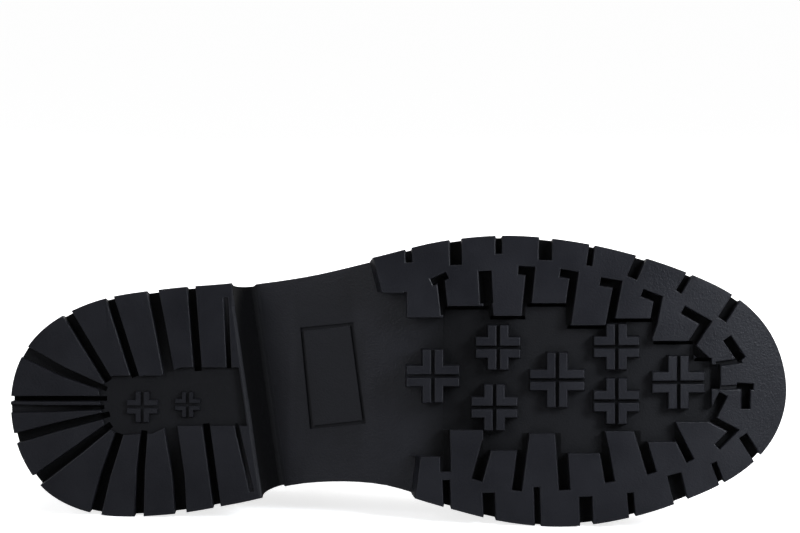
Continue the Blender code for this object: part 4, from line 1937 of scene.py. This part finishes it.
@dataclass
class Studio:
    """Floor, lights and camera round the shoe."""

    lay: Lay
    camera_distance: float = 1500.0
    frame_width: float = 282.6
    frame_x: float = 137.6
    frame_y: float = -45.0
    sensor: float = 36.0
    clip: tuple[float, float] = (0.05, 40.0)
    floor_radius: float = 14.0
    floor_points: int = 128
    paper: float = 0.86
    paper_glow: float = 0.78
    room_light: float = 0.04
    room_seen: float = 1.0
    overhead_tilt: float = math.radians(78.0)
    overhead_spread: float = math.radians(50.0)
    overhead_power: float = 0.64
    overhead_distance: float = 3.0
    boxes: tuple[Softbox, ...] = (
        Softbox("toe_light", 45.0, 18.0, 0.55, 0.18, 2.4, (0.88, 0.93, 1.0)),
        Softbox("top_light", 0.0, 60.0, 0.40, 0.20, 0.22, (0.93, 0.95, 1.0)),
        Softbox("heel_light", -38.0, 16.0, 1.6, 0.8, 8.0, (0.94, 0.96, 1.0)),
        Softbox("back_light", 150.0, 25.0, 1.4, 0.9, 11.0),
        Softbox("far_light", -140.0, 5.0, 1.6, 0.9, 9.0),
    )

    def floor(self) -> None:
        """Lay a plain pale floor, which glows for the camera alone."""
        mesh = bmesh.new()
        bmesh.ops.create_circle(mesh, cap_ends=True, cap_tris=False, segments=self.floor_points,
                                radius=self.floor_radius)
        floor = stand_mesh("floor", mesh)
        made = bpy.data.materials.new("floor_paper")
        made.use_nodes = True
        board = Board(made.node_tree)
        paper = board.add("ShaderNodeBsdfDiffuse", {"Color": (self.paper, self.paper, self.paper, 1.0)})
        seen = board.add("ShaderNodeLightPath").outputs["Is Camera Ray"]
        lit = board.add("ShaderNodeMath", {0: seen, 1: self.paper_glow}, operation="MULTIPLY")
        glow = board.add("ShaderNodeEmission", {"Color": (*WHITE, 1.0), "Strength": lit.outputs[0]})
        both = board.add("ShaderNodeAddShader", {0: paper.outputs[0], 1: glow.outputs[0]})
        board.add("ShaderNodeOutputMaterial", {"Surface": both.outputs[0]})
        floor.data.materials.append(made)
        floor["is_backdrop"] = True

    def surround(self) -> None:
        """Fill the room with an even pale light."""
        world = bpy.data.worlds.new("room")
        bpy.context.scene.world = world
        world.use_nodes = True
        board = Board(world.node_tree)
        seen = board.add("ShaderNodeLightPath").outputs["Is Camera Ray"]
        strength = board.mix(seen, self.room_light, self.room_seen, Mixed.VALUES)
        glow = board.add("ShaderNodeBackground", {"Color": (*WHITE, 1.0), "Strength": strength})
        board.add("ShaderNodeOutputWorld", {"Surface": glow.outputs[0]})

    @staticmethod
    def hang(data: bpy.types.Light, target: Vector, away: Vector) -> None:
        """Hang a light and turn it towards a point.

        Args:
            data: The light, already set.
            target: The point.
            away: The way from the point to the light.
        """
        light = stand(data.name, data)
        light.location = target + away
        light.rotation_mode = "QUATERNION"
        light.rotation_quaternion = (light.location - target).to_track_quat("Z", "Y")

    def lights(self) -> None:
        """Hang one wide lamp over everything, and the soft boxes round the tread."""
        low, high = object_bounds()
        middle = (low + high) / 2
        lamp = bpy.data.lights.new("overhead", "SUN")
        lamp.energy = self.overhead_power
        lamp.angle = self.overhead_spread
        above = Vector((0.0, -math.cos(self.overhead_tilt), math.sin(self.overhead_tilt)))
        self.hang(lamp, middle, above * self.overhead_distance)
        for box in self.boxes:
            data = bpy.data.lights.new(box.name, "AREA")
            data.shape = "SQUARE"
            data.size = box.size
            data.energy = box.power
            data.color = box.colour
            side, up = math.radians(box.sideways), math.radians(box.upward + math.degrees(self.lay.tip))
            away = Vector((math.sin(side) * math.cos(up), -math.cos(side) * math.cos(up), math.sin(up)))
            self.hang(data, middle, away * box.distance)

    def camera(self) -> None:
        """Set the camera straight below the tread, heel on the left."""
        shoe = self.lay.matrix
        axes = shoe.to_3x3().normalized()
        right, medial, up = (axes.col[i].copy() for i in range(3))
        data = bpy.data.cameras.new("camera")
        data.sensor_width = self.sensor
        data.lens = self.sensor * self.camera_distance / self.frame_width
        data.clip_start, data.clip_end = self.clip
        camera = stand("camera", data)
        turned = Matrix((right, -medial, -up)).transposed().to_4x4()
        spot = shoe @ Vector((self.frame_x, self.frame_y, -self.camera_distance))
        camera.matrix_world = Matrix.Translation(spot) @ turned
        bpy.context.scene.camera = camera

    def build(self) -> None:
        """Build the whole studio."""
        self.floor()
        self.surround()
        self.lights()
        self.camera()
        bpy.context.scene.view_settings.view_transform = "Standard"
        log.info("studio: %d lights", len(self.boxes) + 1)


def main() -> None:
    """Build the shoe piece by piece, then the studio."""
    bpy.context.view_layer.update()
    lay = Lay()
    last = Last(SoleShape())
    effects = Effects()
    for part in (Outsole, Welt, Insole, Upper, SaddleStrap, Tongue):
        part(last, lay).build(effects)
    Studio(lay).build()
    log.info("sizes written")


if __name__ == "__main__":
    logging.basicConfig(level=logging.INFO, format="%(message)s")
    main()
